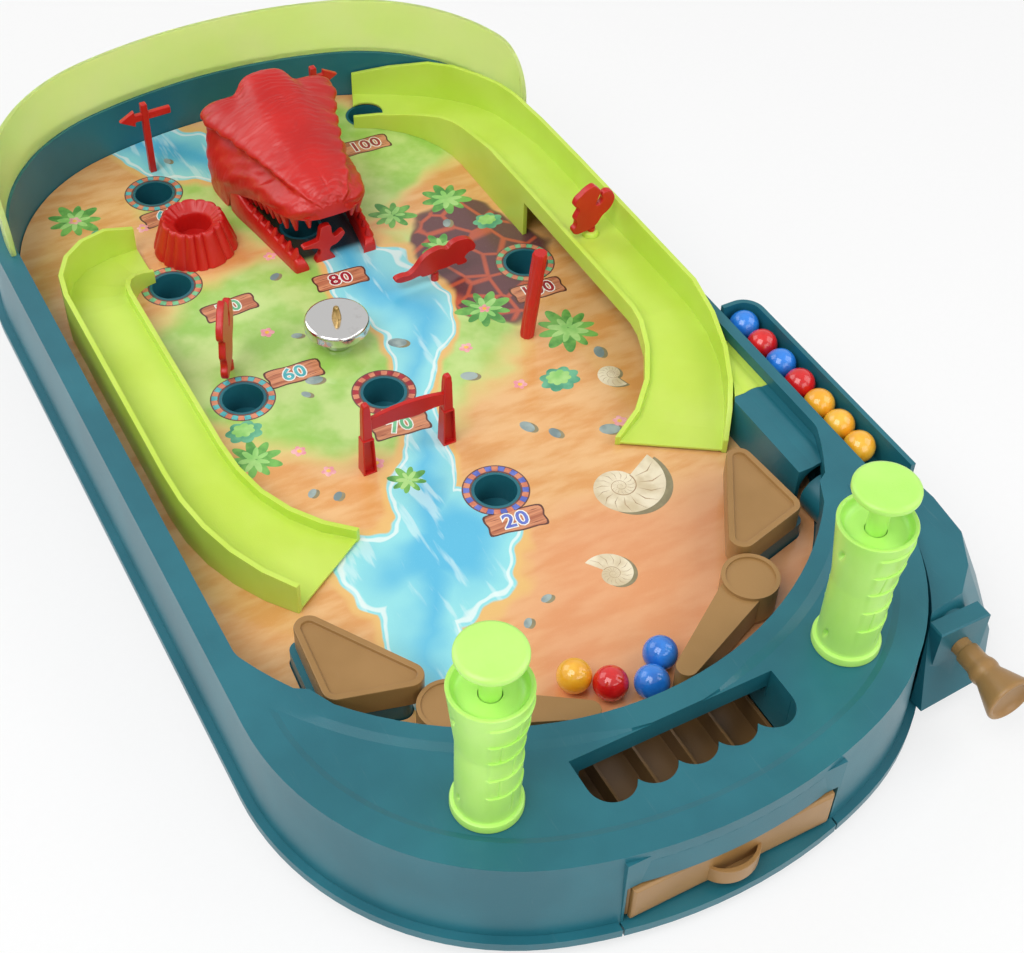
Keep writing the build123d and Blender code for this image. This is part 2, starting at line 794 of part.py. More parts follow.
# Drawer for the drained balls
with BuildPart() as drawer:
    box_front = drawer_front + front_thickness
    box_middle = box_front + drawer_depth / 2
    with BuildSketch(Plane.XY.offset(drawer_base)):
        with Locations((0, drawer_front + front_thickness / 2)):
            Rectangle(2 * (drawer_half_width + front_overlap), front_thickness)
    extrude(amount=drawer_front_height)
    with BuildSketch(Plane.XY.offset(drawer_base)):
        with Locations((0, box_middle)):
            Rectangle(2 * drawer_half_width, drawer_depth)
    extrude(amount=drawer_side_height)
    with BuildSketch(Plane.XY.offset(drawer_base + drawer_wall)):
        with GridLocations(bay_pitch, 0, rib_count + 1, 1):
            with Locations((0, box_middle - drawer_wall / 2)):
                Rectangle(bay_pitch - rib_thickness, drawer_depth - drawer_wall)
    extrude(amount=drawer_side_height, mode=Mode.SUBTRACT)
    # Bevelled front with a half-round cup to pull, open at the top
    chamfer(drawer.faces().sort_by(Axis.Y)[0].edges(), front_bevel)
    pull_base = drawer_base + pull_rise
    with BuildSketch(Plane.XY.offset(pull_base)):
        with Locations((0, drawer_front + front_thickness / 2)):
            Ellipse(pull_radius, pull_depth + front_thickness / 2)
            Rectangle(
                2 * pull_radius, 2 * pull_depth, align=(Align.CENTER, Align.MIN), mode=Mode.SUBTRACT
            )
    extrude(amount=pull_height)
    with BuildSketch(Plane.XY.offset(pull_base + drawer_wall)):
        with Locations((0, drawer_front)):
            Ellipse(pull_radius - drawer_wall, pull_depth - drawer_wall)
            Rectangle(
                2 * pull_radius, 2 * pull_depth, align=(Align.CENTER, Align.MIN), mode=Mode.SUBTRACT
            )
    extrude(amount=pull_height, mode=Mode.SUBTRACT)
keep(drawer, "drawer")

# Flipper controls: tower, button, spring, push rod and flipper on each side
for side, name in ((-1, "left"), (1, "right")):
    button_axis = Axis((side * tower_x, tower_y, 0), (0, 0, 1))
    profile_plane = Plane(origin=(side * tower_x, tower_y, 0), x_dir=(1, 0, 0), z_dir=(0, -1, 0))
    stem_hole = stem_diameter / 2 + side_gap

    with BuildPart() as tower:
        with BuildSketch(profile_plane):
            with BuildLine():
                Polyline(
                    (tower_bore / 2, deck_top),
                    (tower_base_diameter / 2, deck_top),
                    (tower_base_diameter / 2, deck_top + tower_base_height),
                    (tower_diameter / 2, deck_top + tower_base_height),
                    (tower_diameter / 2, cup_bottom - flare_height),
                    (cup_diameter / 2, tower_top),
                    (cup_diameter / 2 - cup_wall, tower_top),
                    (tower_diameter / 2 - cup_wall, cup_bottom),
                    (stem_hole, cup_bottom),
                    (stem_hole, cup_bottom - wall),
                    (tower_bore / 2, cup_bottom - wall),
                    close=True,
                )
            make_face()
        revolve(axis=button_axis)
    keep(tower, f"{name}_tower")

    with BuildPart() as button:
        with BuildSketch(profile_plane):
            with BuildLine():
                Polyline(
                    (0, stem_foot),
                    (stem_diameter / 2, stem_foot),
                    (stem_diameter / 2, collar_base),
                    (collar_diameter / 2, collar_base),
                    (collar_diameter / 2, collar_base + collar_height),
                    (stem_diameter / 2, collar_base + collar_height),
                    (stem_diameter / 2, cap_base),
                    (cap_diameter / 2, cap_base),
                    (cap_diameter / 2, cap_base + cap_height - cap_dome),
                    (cap_diameter / 2 - 2 * cap_dome, cap_base + cap_height),
                    (0, cap_base + cap_height),
                    close=True,
                )
            make_face()
        revolve(axis=button_axis)
        stem_front = (side * tower_x, tower_y - stem_diameter / 2, stem_foot)
        split(bisect_by=Plane(origin=stem_front, z_dir=(0, 1, -1)), keep=Keep.BOTTOM)
    keep(button, f"{name}_button")

    with BuildPart() as button_spring:
        with BuildSketch(Plane.XY.offset(deck_top)):
            with Locations((side * tower_x, tower_y)):
                Circle(spring_diameter / 2)
                Circle(spring_bore / 2, mode=Mode.SUBTRACT)
        extrude(amount=collar_base - deck_top)
    keep(button_spring, f"{name}_button_spring")

    pivot = (side * pivot_x, pivot_y)
    blade_turn = math.radians(rest_angle)
    crank_turn = math.radians(crank_angle)
    blade_tip = (
        pivot[0] - side * blade_reach * math.cos(blade_turn),
        pivot[1] - blade_reach * math.sin(blade_turn),
    )
    crank_pin = (
        pivot[0] - side * crank_radius * math.cos(crank_turn),
        pivot[1] - crank_radius * math.sin(crank_turn),
    )
    rod_base = cover_thickness + running_gap

    with BuildPart() as flipper:
        with BuildSketch(Plane.XY.offset(flipper_base)):
            with Locations(pivot):
                Circle(blade_root_radius)
            with Locations(blade_tip):
                Circle(blade_tip_radius)
            make_hull()
        extrude(amount=blade_top - flipper_base)
        with BuildSketch(Plane.XY.offset(flipper_base)):
            with Locations(pivot):
                Circle(disc_diameter / 2)
        extrude(amount=flipper_top - flipper_base)
        with BuildSketch(Plane.XY.offset(flipper_top - border_rise)):
            with Locations(pivot):
                Circle(disc_diameter / 2 - disc_border)
        extrude(amount=border_rise, mode=Mode.SUBTRACT)
        with BuildSketch(Plane.XY.offset(crank_base)):
            with Locations(pivot):
                Circle(shaft_diameter / 2)
        extrude(amount=flipper_base - crank_base)
        with BuildSketch(Plane.XY.offset(crank_base)):
            with Locations(pivot):
                Circle(crank_width / 2)
            with Locations(crank_pin):
                Circle(crank_width / 2)
            make_hull()
        extrude(amount=crank_height)
        with BuildSketch(Plane.XY.offset(rod_base + free_gap)):
            with Locations(crank_pin):
                Circle(pin_diameter / 2)
        extrude(amount=crank_base - rod_base - free_gap)
    keep(flipper, f"{name}_flipper")

    with BuildPart() as push_rod:
        yoke_x = pivot[0] - side * crank_radius * (1 + math.cos(crank_turn)) / 2
        wedge_start = tower_y - stem_diameter / 2 - (stem_foot - free_gap - wedge_foot)
        with BuildSketch(Plane.XY.offset(rod_base)):
            with Locations((yoke_x, crank_pin[1])):
                Rectangle(yoke_width, yoke_length)
            with Locations((yoke_x, (crank_pin[1] + rod_cross_y) / 2)):
                Rectangle(rod_width, crank_pin[1] - rod_cross_y)
            with Locations(((yoke_x + side * tower_x) / 2, rod_cross_y)):
                Rectangle(abs(side * tower_x - yoke_x) + rod_width, rod_width)
            with Locations((side * tower_x, (wedge_start + rod_cross_y) / 2)):
                Rectangle(wedge_width, rod_cross_y - wedge_start)
            with Locations((yoke_x, crank_pin[1])):
                Rectangle(yoke_slot, pin_diameter + 2 * free_gap, mode=Mode.SUBTRACT)
        extrude(amount=rod_height)
        with BuildSketch(Plane(origin=(side * tower_x, 0, 0), x_dir=(0, 1, 0), z_dir=(1, 0, 0))):
            with BuildLine():
                Polyline(
                    (wedge_start, rod_base),
                    (wedge_start + wedge_length, rod_base),
                    (wedge_start + wedge_length, wedge_foot + wedge_length),
                    (wedge_start, wedge_foot),
                    close=True,
                )
            make_face()
        extrude(amount=wedge_width / 2, both=True)
    keep(push_rod, f"{name}_push_rod")

    with BuildPart() as slingshot:
        with BuildSketch(Plane.XY.offset(sling_foot)) as sling_plan:
            with BuildLine():
                Polyline(*sling_points(side, 0), close=True)
            make_face()
            fillet(sling_plan.vertices(), sling_corner_radius)
        extrude(amount=sling_top - sling_foot)
        with BuildSketch(Plane.XY.offset(sling_top - sling_recess)) as sling_bed:
            with BuildLine():
                Polyline(*sling_points(side, 0), close=True)
            make_face()
            fillet(sling_bed.vertices(), sling_corner_radius)
            offset(amount=-sling_border, mode=Mode.REPLACE)
        extrude(amount=sling_recess, mode=Mode.SUBTRACT)
    keep(slingshot, f"{name}_slingshot")


def ramp_section(inner, outer, shares, rise, inner_foot, outer_foot):
    """Upright section of a ramp: a floor between a low inner and a high outer wall."""
    run = (outer[0] - inner[0], outer[1] - inner[1])
    width = math.hypot(*run)
    floor_z = field + ramp_lip + rise * shares[0]
    under = floor_z - ramp_floor
    low_inner = field if inner_foot else under - ramp_rib
    low_outer = field if outer_foot else under - ramp_rib
    inner_top = floor_z + inner_wall_height * shares[1]
    outer_top = floor_z + outer_wall_height * shares[2]
    across = Plane(origin=(inner[0], inner[1], 0), x_dir=(run[0], run[1], 0), z_dir=(run[1], -run[0], 0))
    with BuildSketch(across) as section:
        with BuildLine():
            Polyline(
                (0, low_inner),
                (0, inner_top),
                (ramp_wall, inner_top),
                (ramp_wall, floor_z),
                (width - ramp_wall, floor_z),
                (width - ramp_wall, outer_top),
                (width, outer_top),
                (width, low_outer),
                (width - ramp_wall, low_outer),
                (width - ramp_wall, under),
                (ramp_wall, under),
                (ramp_wall, low_inner),
                close=True,
            )
        make_face()
    return section.sketch


# Right ramp: from the back hole round the corner, over a bridge and down to the front
bridge_top_y = field_y(bridge_top_y_share)
bridge_back_y = field_y(bridge_back_y_share)
right_inner_bend_y = field_y(right_inner_bend_y_share)
right_outer_bend_y = field_y(right_outer_bend_y_share)
right_turn = []
for inner_share, outer_share, *heights in right_turn_shares:
    right_turn.append(
        ramp_section(
            ring_point(turn_centre, ramp_inner_x - turn_x, math.radians(right_turn_angle * inner_share)),
            ring_point(turn_centre, ramp_outer_x - turn_x, math.radians(right_turn_angle * outer_share)),
            heights,
            bridge_rise,
            True,
            True,
        )
    )
for station_y, rise_share in ((bridge_top_y, bridge_top_share), (bridge_back_y, 1)):
    right_turn.append(
        ramp_section(
            (ramp_inner_x, station_y), (ramp_outer_x, station_y), (rise_share, 1, 1), bridge_rise, True, True
        )
    )
right_bridge = []
for inner_y, outer_y in ((bridge_back_y, bridge_back_y), (right_inner_bend_y, right_outer_bend_y)):
    right_bridge.append(
        ramp_section(
            (ramp_inner_x, inner_y), (ramp_outer_x, outer_y), (1, 1, 1), bridge_rise, False, False
        )
    )
bend_inner = (ramp_inner_x - right_inner_bend, right_inner_bend_y)
bend_outer = (ramp_outer_x - right_outer_bend, right_outer_bend_y)
for inner_share, outer_share, *heights in right_bend_shares:
    right_bridge.append(
        ramp_section(
            ring_point(bend_inner, right_inner_bend, -math.radians(right_inner_angle * inner_share)),
            ring_point(bend_outer, right_outer_bend, -math.radians(right_outer_angle * outer_share)),
            heights,
            bridge_rise,
            False,
            False,
        )
    )
with BuildPart() as right_ramp:
    loft(sections=right_turn, ruled=True)
    loft(sections=right_bridge, ruled=True)
    # The floor stops round the hole that the ramp feeds
    with BuildSketch(Plane.XY.offset(field)):
        with Locations(ramp_hole):
            Circle(hole_diameter / 2)
    extrude(amount=bridge_rise, mode=Mode.SUBTRACT)
keep(right_ramp, "right_ramp")

# Left ramp: a low sweep from the front round to the volcano's hole
left_stations = []
left_turn_y = field_y(left_turn_y_share)
left_inner_bend_y = field_y(left_inner_bend_y_share)
left_outer_bend_y = field_y(left_outer_bend_y_share)
for inner_share, outer_share, *heights in left_turn_shares:
    inner_turn = math.pi / 2 * inner_share
    outer_turn = math.pi / 2 * outer_share
    left_stations.append(
        ramp_section(
            (
                left_end_x - (left_end_x - left_inner_x) * math.cos(inner_turn),
                left_turn_y + left_inner_lift * math.sin(inner_turn),
            ),
            (
                left_end_x - (left_end_x - left_outer_x) * math.cos(outer_turn),
                left_turn_y + left_outer_lift * math.sin(outer_turn),
            ),
            heights,
            left_rise,
            True,
            True,
        )
    )
left_stations.append(
    ramp_section(
        (left_inner_x, left_inner_bend_y),
        (left_outer_x, left_outer_bend_y),
        left_turn_shares[-1][2:],
        left_rise,
        True,
        True,
    )
)
for inner_share, outer_share, *heights in left_bend_shares:
    inner_turn = math.radians(left_inner_angle * inner_share)
    outer_turn = math.radians(left_outer_angle * outer_share)
    left_stations.append(
        ramp_section(
            (
                left_inner_x + left_inner_bend * (1 - math.cos(inner_turn)),
                left_inner_bend_y - left_inner_bend * math.sin(inner_turn),
            ),
            (
                left_outer_x + left_outer_bend * (1 - math.cos(outer_turn)),
                left_outer_bend_y - left_outer_bend * math.sin(outer_turn),
            ),
            heights,
            left_rise,
            True,
            True,
        )
    )
with BuildPart() as left_ramp:
    loft(sections=left_stations, ruled=True)
keep(left_ramp, "left_ramp")

# Fence on the back rim
with BuildPart() as back_fence:
    with BuildSketch(Plane.XY.offset(rim_top)):
        with BuildLine():
            draw_basin(fence_setback + fence_thickness)
        make_face()
        with BuildLine():
            draw_basin(fence_setback)
        make_face(mode=Mode.SUBTRACT)
    extrude(amount=fence_height)
    fence_end = tray_back - fence_length
    side_view = Plane(origin=(-tray_half_width, 0, 0), x_dir=(0, 1, 0), z_dir=(1, 0, 0))
    with BuildSketch(side_view):
        with BuildLine():
            Line((fence_end, rim_top), (tray_back, rim_top))
            Line((tray_back, rim_top), (tray_back, rim_top + fence_height))
            Line((tray_back, rim_top + fence_height), (fence_end + fence_corner, rim_top + fence_height))
            RadiusArc(
                (fence_end + fence_corner, rim_top + fence_height),
                (fence_end, rim_top + fence_height - fence_corner),
                -fence_corner,
            )
            Line((fence_end, rim_top + fence_height - fence_corner), (fence_end, rim_top))
        make_face()
    extrude(amount=2 * tray_half_width, mode=Mode.INTERSECT)
keep(back_fence, "back_fence")

# Launch lane: an arched cover over the ball's way, and a collar between it and the ramp
for name, back, front in (
    ("launch_cover", lane_back, lane_front),
    ("launch_collar", lane_back + running_gap + collar_length, lane_back + running_gap),
):
    arch_outer = arch_radius + lane_wall
    arch_plane = Plane(origin=(lane_x, back, field + arch_rise), x_dir=(1, 0, 0), z_dir=(0, -1, 0))
    with BuildPart() as lane_arch:
        with BuildSketch(arch_plane):
            Circle(arch_outer)
            Rectangle(2 * arch_outer, 2 * arch_rise)
            Circle(arch_radius, mode=Mode.SUBTRACT)
            Rectangle(2 * arch_radius, 2 * arch_rise, align=(Align.CENTER, Align.MAX), mode=Mode.SUBTRACT)
            with Locations((0, -arch_rise)):
                Rectangle(
                    2 * arch_outer, arch_outer, align=(Align.CENTER, Align.MAX), mode=Mode.SUBTRACT
                )
        extrude(amount=back - front)
        with BuildSketch(Plane.XY.offset(field)):
            with BuildLine():
                draw_basin(-running_gap)
            make_face()
            with Locations(bend_outer):
                Circle(right_outer_bend + free_gap, mode=Mode.SUBTRACT)
        extrude(amount=3 * arch_outer, mode=Mode.INTERSECT)
    keep(lane_arch, name)

# Ball trough, rock and plunger barrel in one moulding beside the tray
with BuildPart() as launcher_housing:
    with BuildSketch(Plane.XY.offset(housing_base)) as trough_plan:
        with Locations((trough_inner, trough_front)):
            Rectangle(
                trough_width + trough_wall, trough_length + trough_wall, align=(Align.MIN, Align.MIN)
            )
        fillet(trough_plan.vertices().sort_by(Axis.Y)[2:].sort_by(Axis.X)[-1], trough_corner + trough_wall)
    extrude(amount=rim_top - housing_base)
    with BuildSketch(Plane.XY.offset(housing_base)):
        with BuildLine():
            Polyline(*rock_points(rock_base_corners), close=True)
        make_face()
    with BuildSketch(Plane.XY.offset(rim_top - rock_drop)):
        with BuildLine():
            Polyline(*rock_points(rock_top_corners), close=True)
        make_face()
    loft(ruled=True)
    with BuildSketch(lane_plane(housing_front + mouth_thickness)):
        Rectangle(mouth_size, mouth_size)
    extrude(amount=mouth_thickness)
    with BuildSketch(Plane.XY.offset(housing_base)):
        with BuildLine():
            draw_tray(flange_width - side_gap)
        make_face()
    extrude(amount=rim_top, mode=Mode.SUBTRACT)
    # Hollow of the trough, its bed, and the drop to the lane at the bed's front end
    with BuildSketch(Plane.XY.offset(housing_base)) as trough_hollow:
        with Locations((trough_inner, trough_front)):
            Rectangle(trough_width, trough_length, align=(Align.MIN, Align.MIN))
        fillet(trough_hollow.vertices().sort_by(Axis.Y)[2:].sort_by(Axis.X)[-1], trough_corner)
    extrude(amount=rim_top, mode=Mode.SUBTRACT)
    with BuildSketch(Plane.XY.offset(field - trough_floor)):
        with Locations((trough_inner + side_gap, trough_front)):
            Rectangle(
                trough_width - side_gap, barrel_back + trough_wall - trough_front, align=(Align.MIN, Align.MIN)
            )
    extrude(amount=trough_floor)
    with BuildSketch(Plane.XY.offset(field)):
        with Locations((trough_inner + side_gap, barrel_back)):
            Rectangle(trough_width - side_gap, trough_wall, align=(Align.MIN, Align.MIN))
    extrude(amount=trough_rise)
    with BuildSketch(Plane.XY.offset(trough_bed - trough_floor)) as trough_shelf:
        with Locations((trough_inner + side_gap, barrel_back)):
            Rectangle(trough_width - side_gap, trough_back - barrel_back, align=(Align.MIN, Align.MIN))
        fillet(trough_shelf.vertices().sort_by(Axis.Y)[2:].sort_by(Axis.X)[-1], trough_corner)
    extrude(amount=trough_floor)
    with BuildSketch(lane_plane(barrel_back)):
        Circle(barrel_bore / 2 + barrel_wall)
    extrude(amount=barrel_back - housing_front - mouth_thickness)
    # The barrel's end is cut away over the playfield's floor
    with BuildSketch(Plane.XY.offset(cover_thickness)):
        with BuildLine():
            draw_basin(floor_ledge + side_gap)
        make_face()
    extrude(amount=field - cover_thickness + side_gap, mode=Mode.SUBTRACT)
    with BuildSketch(lane_plane(barrel_back)):
        Circle(barrel_bore / 2)
    extrude(amount=barrel_back - housing_front - mouth_thickness, mode=Mode.SUBTRACT)
    with BuildSketch(lane_plane(barrel_back)):
        Circle(rod_diameter / 2 + running_gap)
    extrude(amount=barrel_back - housing_front + overrun, mode=Mode.SUBTRACT)
    with BuildSketch(Plane.XY.offset(field)):
        with Locations((lane_x, barrel_back)):
            Rectangle(trough_inner - lane_x + overrun, feed_length, align=(Align.MIN, Align.MAX))
    extrude(amount=feed_height, mode=Mode.SUBTRACT)
keep(launcher_housing, "launcher_housing")

with BuildPart() as plunger:
    knob_start = housing_front - knob_gap
    head_face = barrel_back - feed_room
    with BuildSketch(lane_plane(head_face)):
        Circle(head_diameter / 2)
    extrude(amount=head_length)
    with BuildSketch(lane_plane(head_face)):
        Circle(rod_diameter / 2)
    extrude(amount=head_face - knob_start)
    knob_plane = Plane(origin=(lane_x, knob_start, ball_rest), x_dir=(0, -1, 0), z_dir=(1, 0, 0))
    with BuildSketch(knob_plane):
        with BuildLine():
            Polyline(
                (0, 0),
                (0, knob_neck_diameter / 2),
                (knob_length / 4, knob_neck_diameter / 2),
                (knob_length / 3, knob_ring_diameter / 2),
                (knob_length / 2, knob_ring_diameter / 2),
                (knob_length * 3 / 5, knob_neck_diameter / 2),
                (knob_length * 4 / 5, knob_ring_diameter / 2),
                (knob_length * 9 / 10, knob_diameter / 2),
                (knob_length, knob_diameter / 2),
                (knob_length, 0),
                close=True,
            )
        make_face()
    revolve(axis=Axis((lane_x, knob_start, ball_rest), (0, -1, 0)))
keep(plunger, "plunger")

with BuildPart() as plunger_spring:
    spring_back = head_face - head_length - running_gap
    with BuildSketch(lane_plane(spring_back)):
        Circle(plunger_spring_diameter / 2)
        Circle(plunger_spring_bore / 2, mode=Mode.SUBTRACT)
    extrude(amount=spring_back - housing_front - mouth_thickness - running_gap)
keep(plunger_spring, "plunger_spring")

# Bumper: a plated bell on a collar, with a slotted brass tip
bumper_place = place(bumper_shares)
bumper_axis = Axis((*bumper_place, 0), (0, 0, 1))
bumper_plane = Plane(origin=(*bumper_place, 0), x_dir=(1, 0, 0), z_dir=(0, -1, 0))
with BuildPart() as bumper_bell:
    with BuildSketch(bumper_plane):
        with BuildLine():
            Polyline(
                (0, field),
                (bumper_collar_diameter / 2, field),
                (bumper_collar_diameter / 2, bell_base),
                (bell_diameter / 2, bell_base),
                (bell_diameter / 2, bell_base + bell_height - bell_edge),
                (bell_diameter / 2 - bell_edge, bell_base + bell_height),
                (0, bell_base + bell_height),
                close=True,
            )
        make_face()
    revolve(axis=bumper_axis)
keep(bumper_bell, "bumper_bell")

with BuildPart() as bumper_tip:
    with BuildSketch(Plane.XY.offset(bell_base + bell_height)):
        with Locations(bumper_place):
            Circle(tip_diameter / 2)
    extrude(amount=tip_height)
    with BuildSketch(Plane.XY.offset(bell_base + bell_height + tip_height / 2)):
        with Locations(bumper_place):
            Rectangle(tip_slot, tip_diameter + overrun)
    extrude(amount=tip_height, mode=Mode.SUBTRACT)
keep(bumper_tip, "bumper_tip")

# Fluted volcano with a crater
volcano_place = place(volcano_shares)


def fluted_ring(diameter):
    points = []
    for step in range(2 * flute_count):
        reach = diameter / 2 * (1 if step % 2 == 0 else flute_share)
        points.append(ring_point(volcano_place, reach, math.pi * step / flute_count))
    return points


with BuildPart() as volcano:
    with BuildSketch(Plane.XY.offset(field)):
        with BuildLine():
            Polyline(*fluted_ring(volcano_diameter), close=True)
        make_face()
    with BuildSketch(Plane.XY.offset(field + volcano_height)):
        with BuildLine():
            Polyline(*fluted_ring(volcano_top_share * volcano_diameter), close=True)
        make_face()
    loft(ruled=True)
    with BuildSketch(Plane.XY.offset(field + volcano_height - crater_depth)):
        with Locations(volcano_place):
            Circle(crater_share * volcano_diameter / 2)
    extrude(amount=crater_depth, mode=Mode.SUBTRACT)
keep(volcano, "volcano")

# Great head that arches over the mouth hole, and the jaw in front of it
head_x, head_back = place(head_shares)
head_sections = []
for reach_share, width_share, top_share, foot_share in head_section_shares:
    half = head_half_width * width_share
    foot = head_height * foot_share
    top = head_height * top_share
    side_z = foot + (top - foot) / 2
    section_plane = Plane(
        origin=(head_x, head_back - head_length_y * reach_share, field), x_dir=(1, 0, 0), z_dir=(0, -1, 0)
    )
    with BuildSketch(section_plane) as head_section:
        with BuildLine():
            Polyline(
                (-half * 7 / 8, foot),
                (-half, side_z),
                (-half * 4 / 5, foot + (top - foot) * 4 / 5),
                (-half / 3, top),
                (half / 3, top),
                (half * 4 / 5, foot + (top - foot) * 4 / 5),
                (half, side_z),
                (half * 7 / 8, foot),
                close=True,
            )
        make_face()
    head_sections.append(head_section.sketch)
head_front = head_back - head_length_y
mouth_back = head_front + mouth_depth
mouth_start = head_front - overrun
with BuildPart() as head:
    loft(sections=head_sections, ruled=True)
    for section_y, width_share, section_height in (
        (mouth_back, mouth_width_share, mouth_height),
        (mouth_start, mouth_front_share, mouth_front_height),
    ):
        with BuildSketch(Plane(origin=(head_x, section_y, field), x_dir=(1, 0, 0), z_dir=(0, -1, 0))):
            Rectangle(
                2 * width_share * head_half_width, section_height, align=(Align.CENTER, Align.MIN)
            )
    loft(ruled=True, mode=Mode.SUBTRACT)
keep(head, "head")

jaw_back = head_back - jaw_setback
jaw_front = jaw_back - jaw_length
jaw_back_half = jaw_back_share * head_half_width
jaw_front_half = jaw_front_share * head_half_width
with BuildPart() as jaw:
    for side in (-1, 1):
        with BuildSketch(Plane.XY.offset(field)):
            with BuildLine():
                Polyline(
                    (head_x + side * (jaw_back_half - jaw_width), jaw_back),
                    (head_x + side * jaw_back_half, jaw_back),
                    (head_x + side * jaw_front_half, jaw_front),
                    (head_x + side * (jaw_front_half - jaw_width), jaw_front),
                    close=True,
                )
            make_face()
        extrude(amount=jaw_height)
        for step in range(jaw_tooth_count):
            tooth_run = jaw_tooth_run * (step + 1 / 2) / jaw_tooth_count
            tooth_half = jaw_front_half + (jaw_back_half - jaw_front_half) * tooth_run / jaw_length - jaw_width / 2
            tooth_y = jaw_front + tooth_run
            with Locations((head_x + side * tooth_half, tooth_y, field + jaw_height + jaw_tooth_height / 2)):
                Cone(jaw_tooth_diameter / 2, jaw_tooth_diameter / 8, jaw_tooth_height)
    # The bars' back ends slope away under the cheeks
    cheek_reach = head_length_y * (head_section_shares[3][0] - head_section_shares[2][0])
    cheek_rise = head_height * head_section_shares[3][3]
    cheek_y = head_back - head_length_y * head_section_shares[2][0]
    split(
        bisect_by=Plane(origin=(head_x, cheek_y - 2 * free_gap, field), z_dir=(0, -cheek_rise, -cheek_reach)),
        keep=Keep.TOP,
    )
keep(jaw, "jaw")

# Flat figures, each on a peg
for name, spot, foot, outline, length, height, turn in (
    ("flat_figure", place(flat_figure_shares), field, long_neck_outline_shares,
     flat_figure_length, flat_figure_height, 0),
    ("thin_figure", place(thin_figure_shares), field, upright_outline_shares,
     thin_figure_length, thin_figure_height, math.radians(thin_figure_turn)),
    ("ramp_figure", ((ramp_inner_x + ramp_outer_x) / 2, field_y(ramp_figure_y_share)), field + ramp_lip + bridge_rise,
     upright_outline_shares, ramp_figure_length, ramp_figure_height, 0),
    ("mouth_figure", place(mouth_figure_shares), field, plant_outline_shares,
     mouth_figure_length, mouth_figure_height, 0),
):
    with BuildPart() as figure:
        with BuildSketch(Plane.XY.offset(foot)):
            with Locations(spot):
                Circle(peg_diameter / 2)
        extrude(amount=peg_height)
        figure_plane = Plane(
            origin=(*spot, foot + peg_height), x_dir=(math.cos(turn), math.sin(turn), 0),
            z_dir=(math.sin(turn), -math.cos(turn), 0),
        )
        with BuildSketch(figure_plane):
            with BuildLine():
                Polyline(*figure_points(outline, length, height), close=True)
            make_face()
        extrude(amount=figure_thickness / 2, both=True)
    keep(figure, name)

with BuildPart() as log_post:
    log_place = place(log_shares)
    with BuildSketch(Plane.XY.offset(field)):
        with Locations(log_place):
            Circle(log_diameter / 2)
    with BuildSketch(Plane.XY.offset(field + log_height)):
        with Locations((log_place[0] + log_lean, log_place[1])):
            Circle(log_diameter / 2)
    loft(ruled=True)
keep(log_post, "log_post")

# Gate: two tapered posts with a banner between them
gate_left = place(gate_left_shares)
gate_right = place(gate_right_shares)
with BuildPart() as gate:
    for post in (gate_left, gate_right):
        with BuildSketch(Plane.XY.offset(field)):
            with Locations(post):
                Rectangle(gate_foot, gate_foot)
        with BuildSketch(Plane.XY.offset(field + gate_height)):
            with Locations(post):
                Rectangle(gate_peak, gate_peak)
        loft(ruled=True)
    banner_plane = Plane(
        origin=(gate_left[0], (gate_left[1] + gate_right[1]) / 2, field + gate_height * banner_rise_share),
        x_dir=(1, 0, 0),
        z_dir=(0, -1, 0),
    )
    gate_span = gate_right[0] - gate_left[0]
    with BuildSketch(banner_plane):
        with BuildLine():
            ThreePointArc((0, 0), (gate_span / 2, -banner_sag), (gate_span, 0))
            Line((gate_span, 0), (gate_span, banner_height))
            ThreePointArc(
                (gate_span, banner_height), (gate_span / 2, banner_height + banner_crown), (0, banner_height)
            )
            Line((0, banner_height), (0, 0))
        make_face()
    extrude(amount=banner_thickness / 2, both=True)
keep(gate, "gate")

# Arrow signs at the back
for name, shares, point in (("left_signpost", left_sign_shares, -1), ("right_signpost", right_sign_shares, 1)):
    with BuildPart() as signpost:
        spot = place(shares)
        with BuildSketch(Plane.XY.offset(field)):
            with Locations(spot):
                Rectangle(sign_post, sign_post)
        extrude(amount=sign_height)
        arm_plane = Plane(
            origin=(*spot, field + sign_height * arm_rise_share), x_dir=(point, 0, 0), z_dir=(0, -point, 0)
        )
        with BuildSketch(arm_plane):
            with BuildLine():
                Polyline(
                    (-arm_length / 2, -arm_height / 2),
                    (arm_length / 3, -arm_height / 2),
                    (arm_length / 2, 0),
                    (arm_length / 3, arm_height / 2),
                    (-arm_length / 2, arm_height / 2),
                    close=True,
                )
            make_face()
        extrude(amount=figure_thickness / 2, both=True)
    keep(signpost, name)

# Balls: seven in the trough, four in front of the drain
trough_x = trough_inner + trough_width - ball_radius - side_gap
trough_pitch = ball_diameter * trough_pitch_share
trough_first = trough_back - ball_radius - side_gap
trough_order = ("blue", "red", "blue", "red", "yellow", "yellow", "yellow")
for colour in ("blue", "red", "yellow"):
    with BuildPart() as trough_balls:
        spots = [
            (trough_x, trough_first - step * trough_pitch, trough_bed + ball_radius)
            for step, ball in enumerate(trough_order)
            if ball == colour
        ]
        with Locations(*spots):
            Sphere(ball_radius)
    keep(trough_balls, f"{colour}_trough_balls")
for name, spot in (
    ("struck_yellow_ball", struck_yellow),
    ("struck_red_ball", struck_red),
    ("struck_blue_ball", struck_blue),
    ("resting_blue_ball", resting_blue),
):
    blade_line = field_front + tip_setback + (abs(spot[0]) - blade_tip_x) * math.tan(math.radians(rest_angle))
    with BuildPart() as ball:
        with Locations((spot[0], blade_line + spot[1], ball_rest)):
            Sphere(ball_radius)
    keep(ball, name)
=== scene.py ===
import json
import math

import bmesh
import bpy
from mathutils import Matrix, Vector, noise


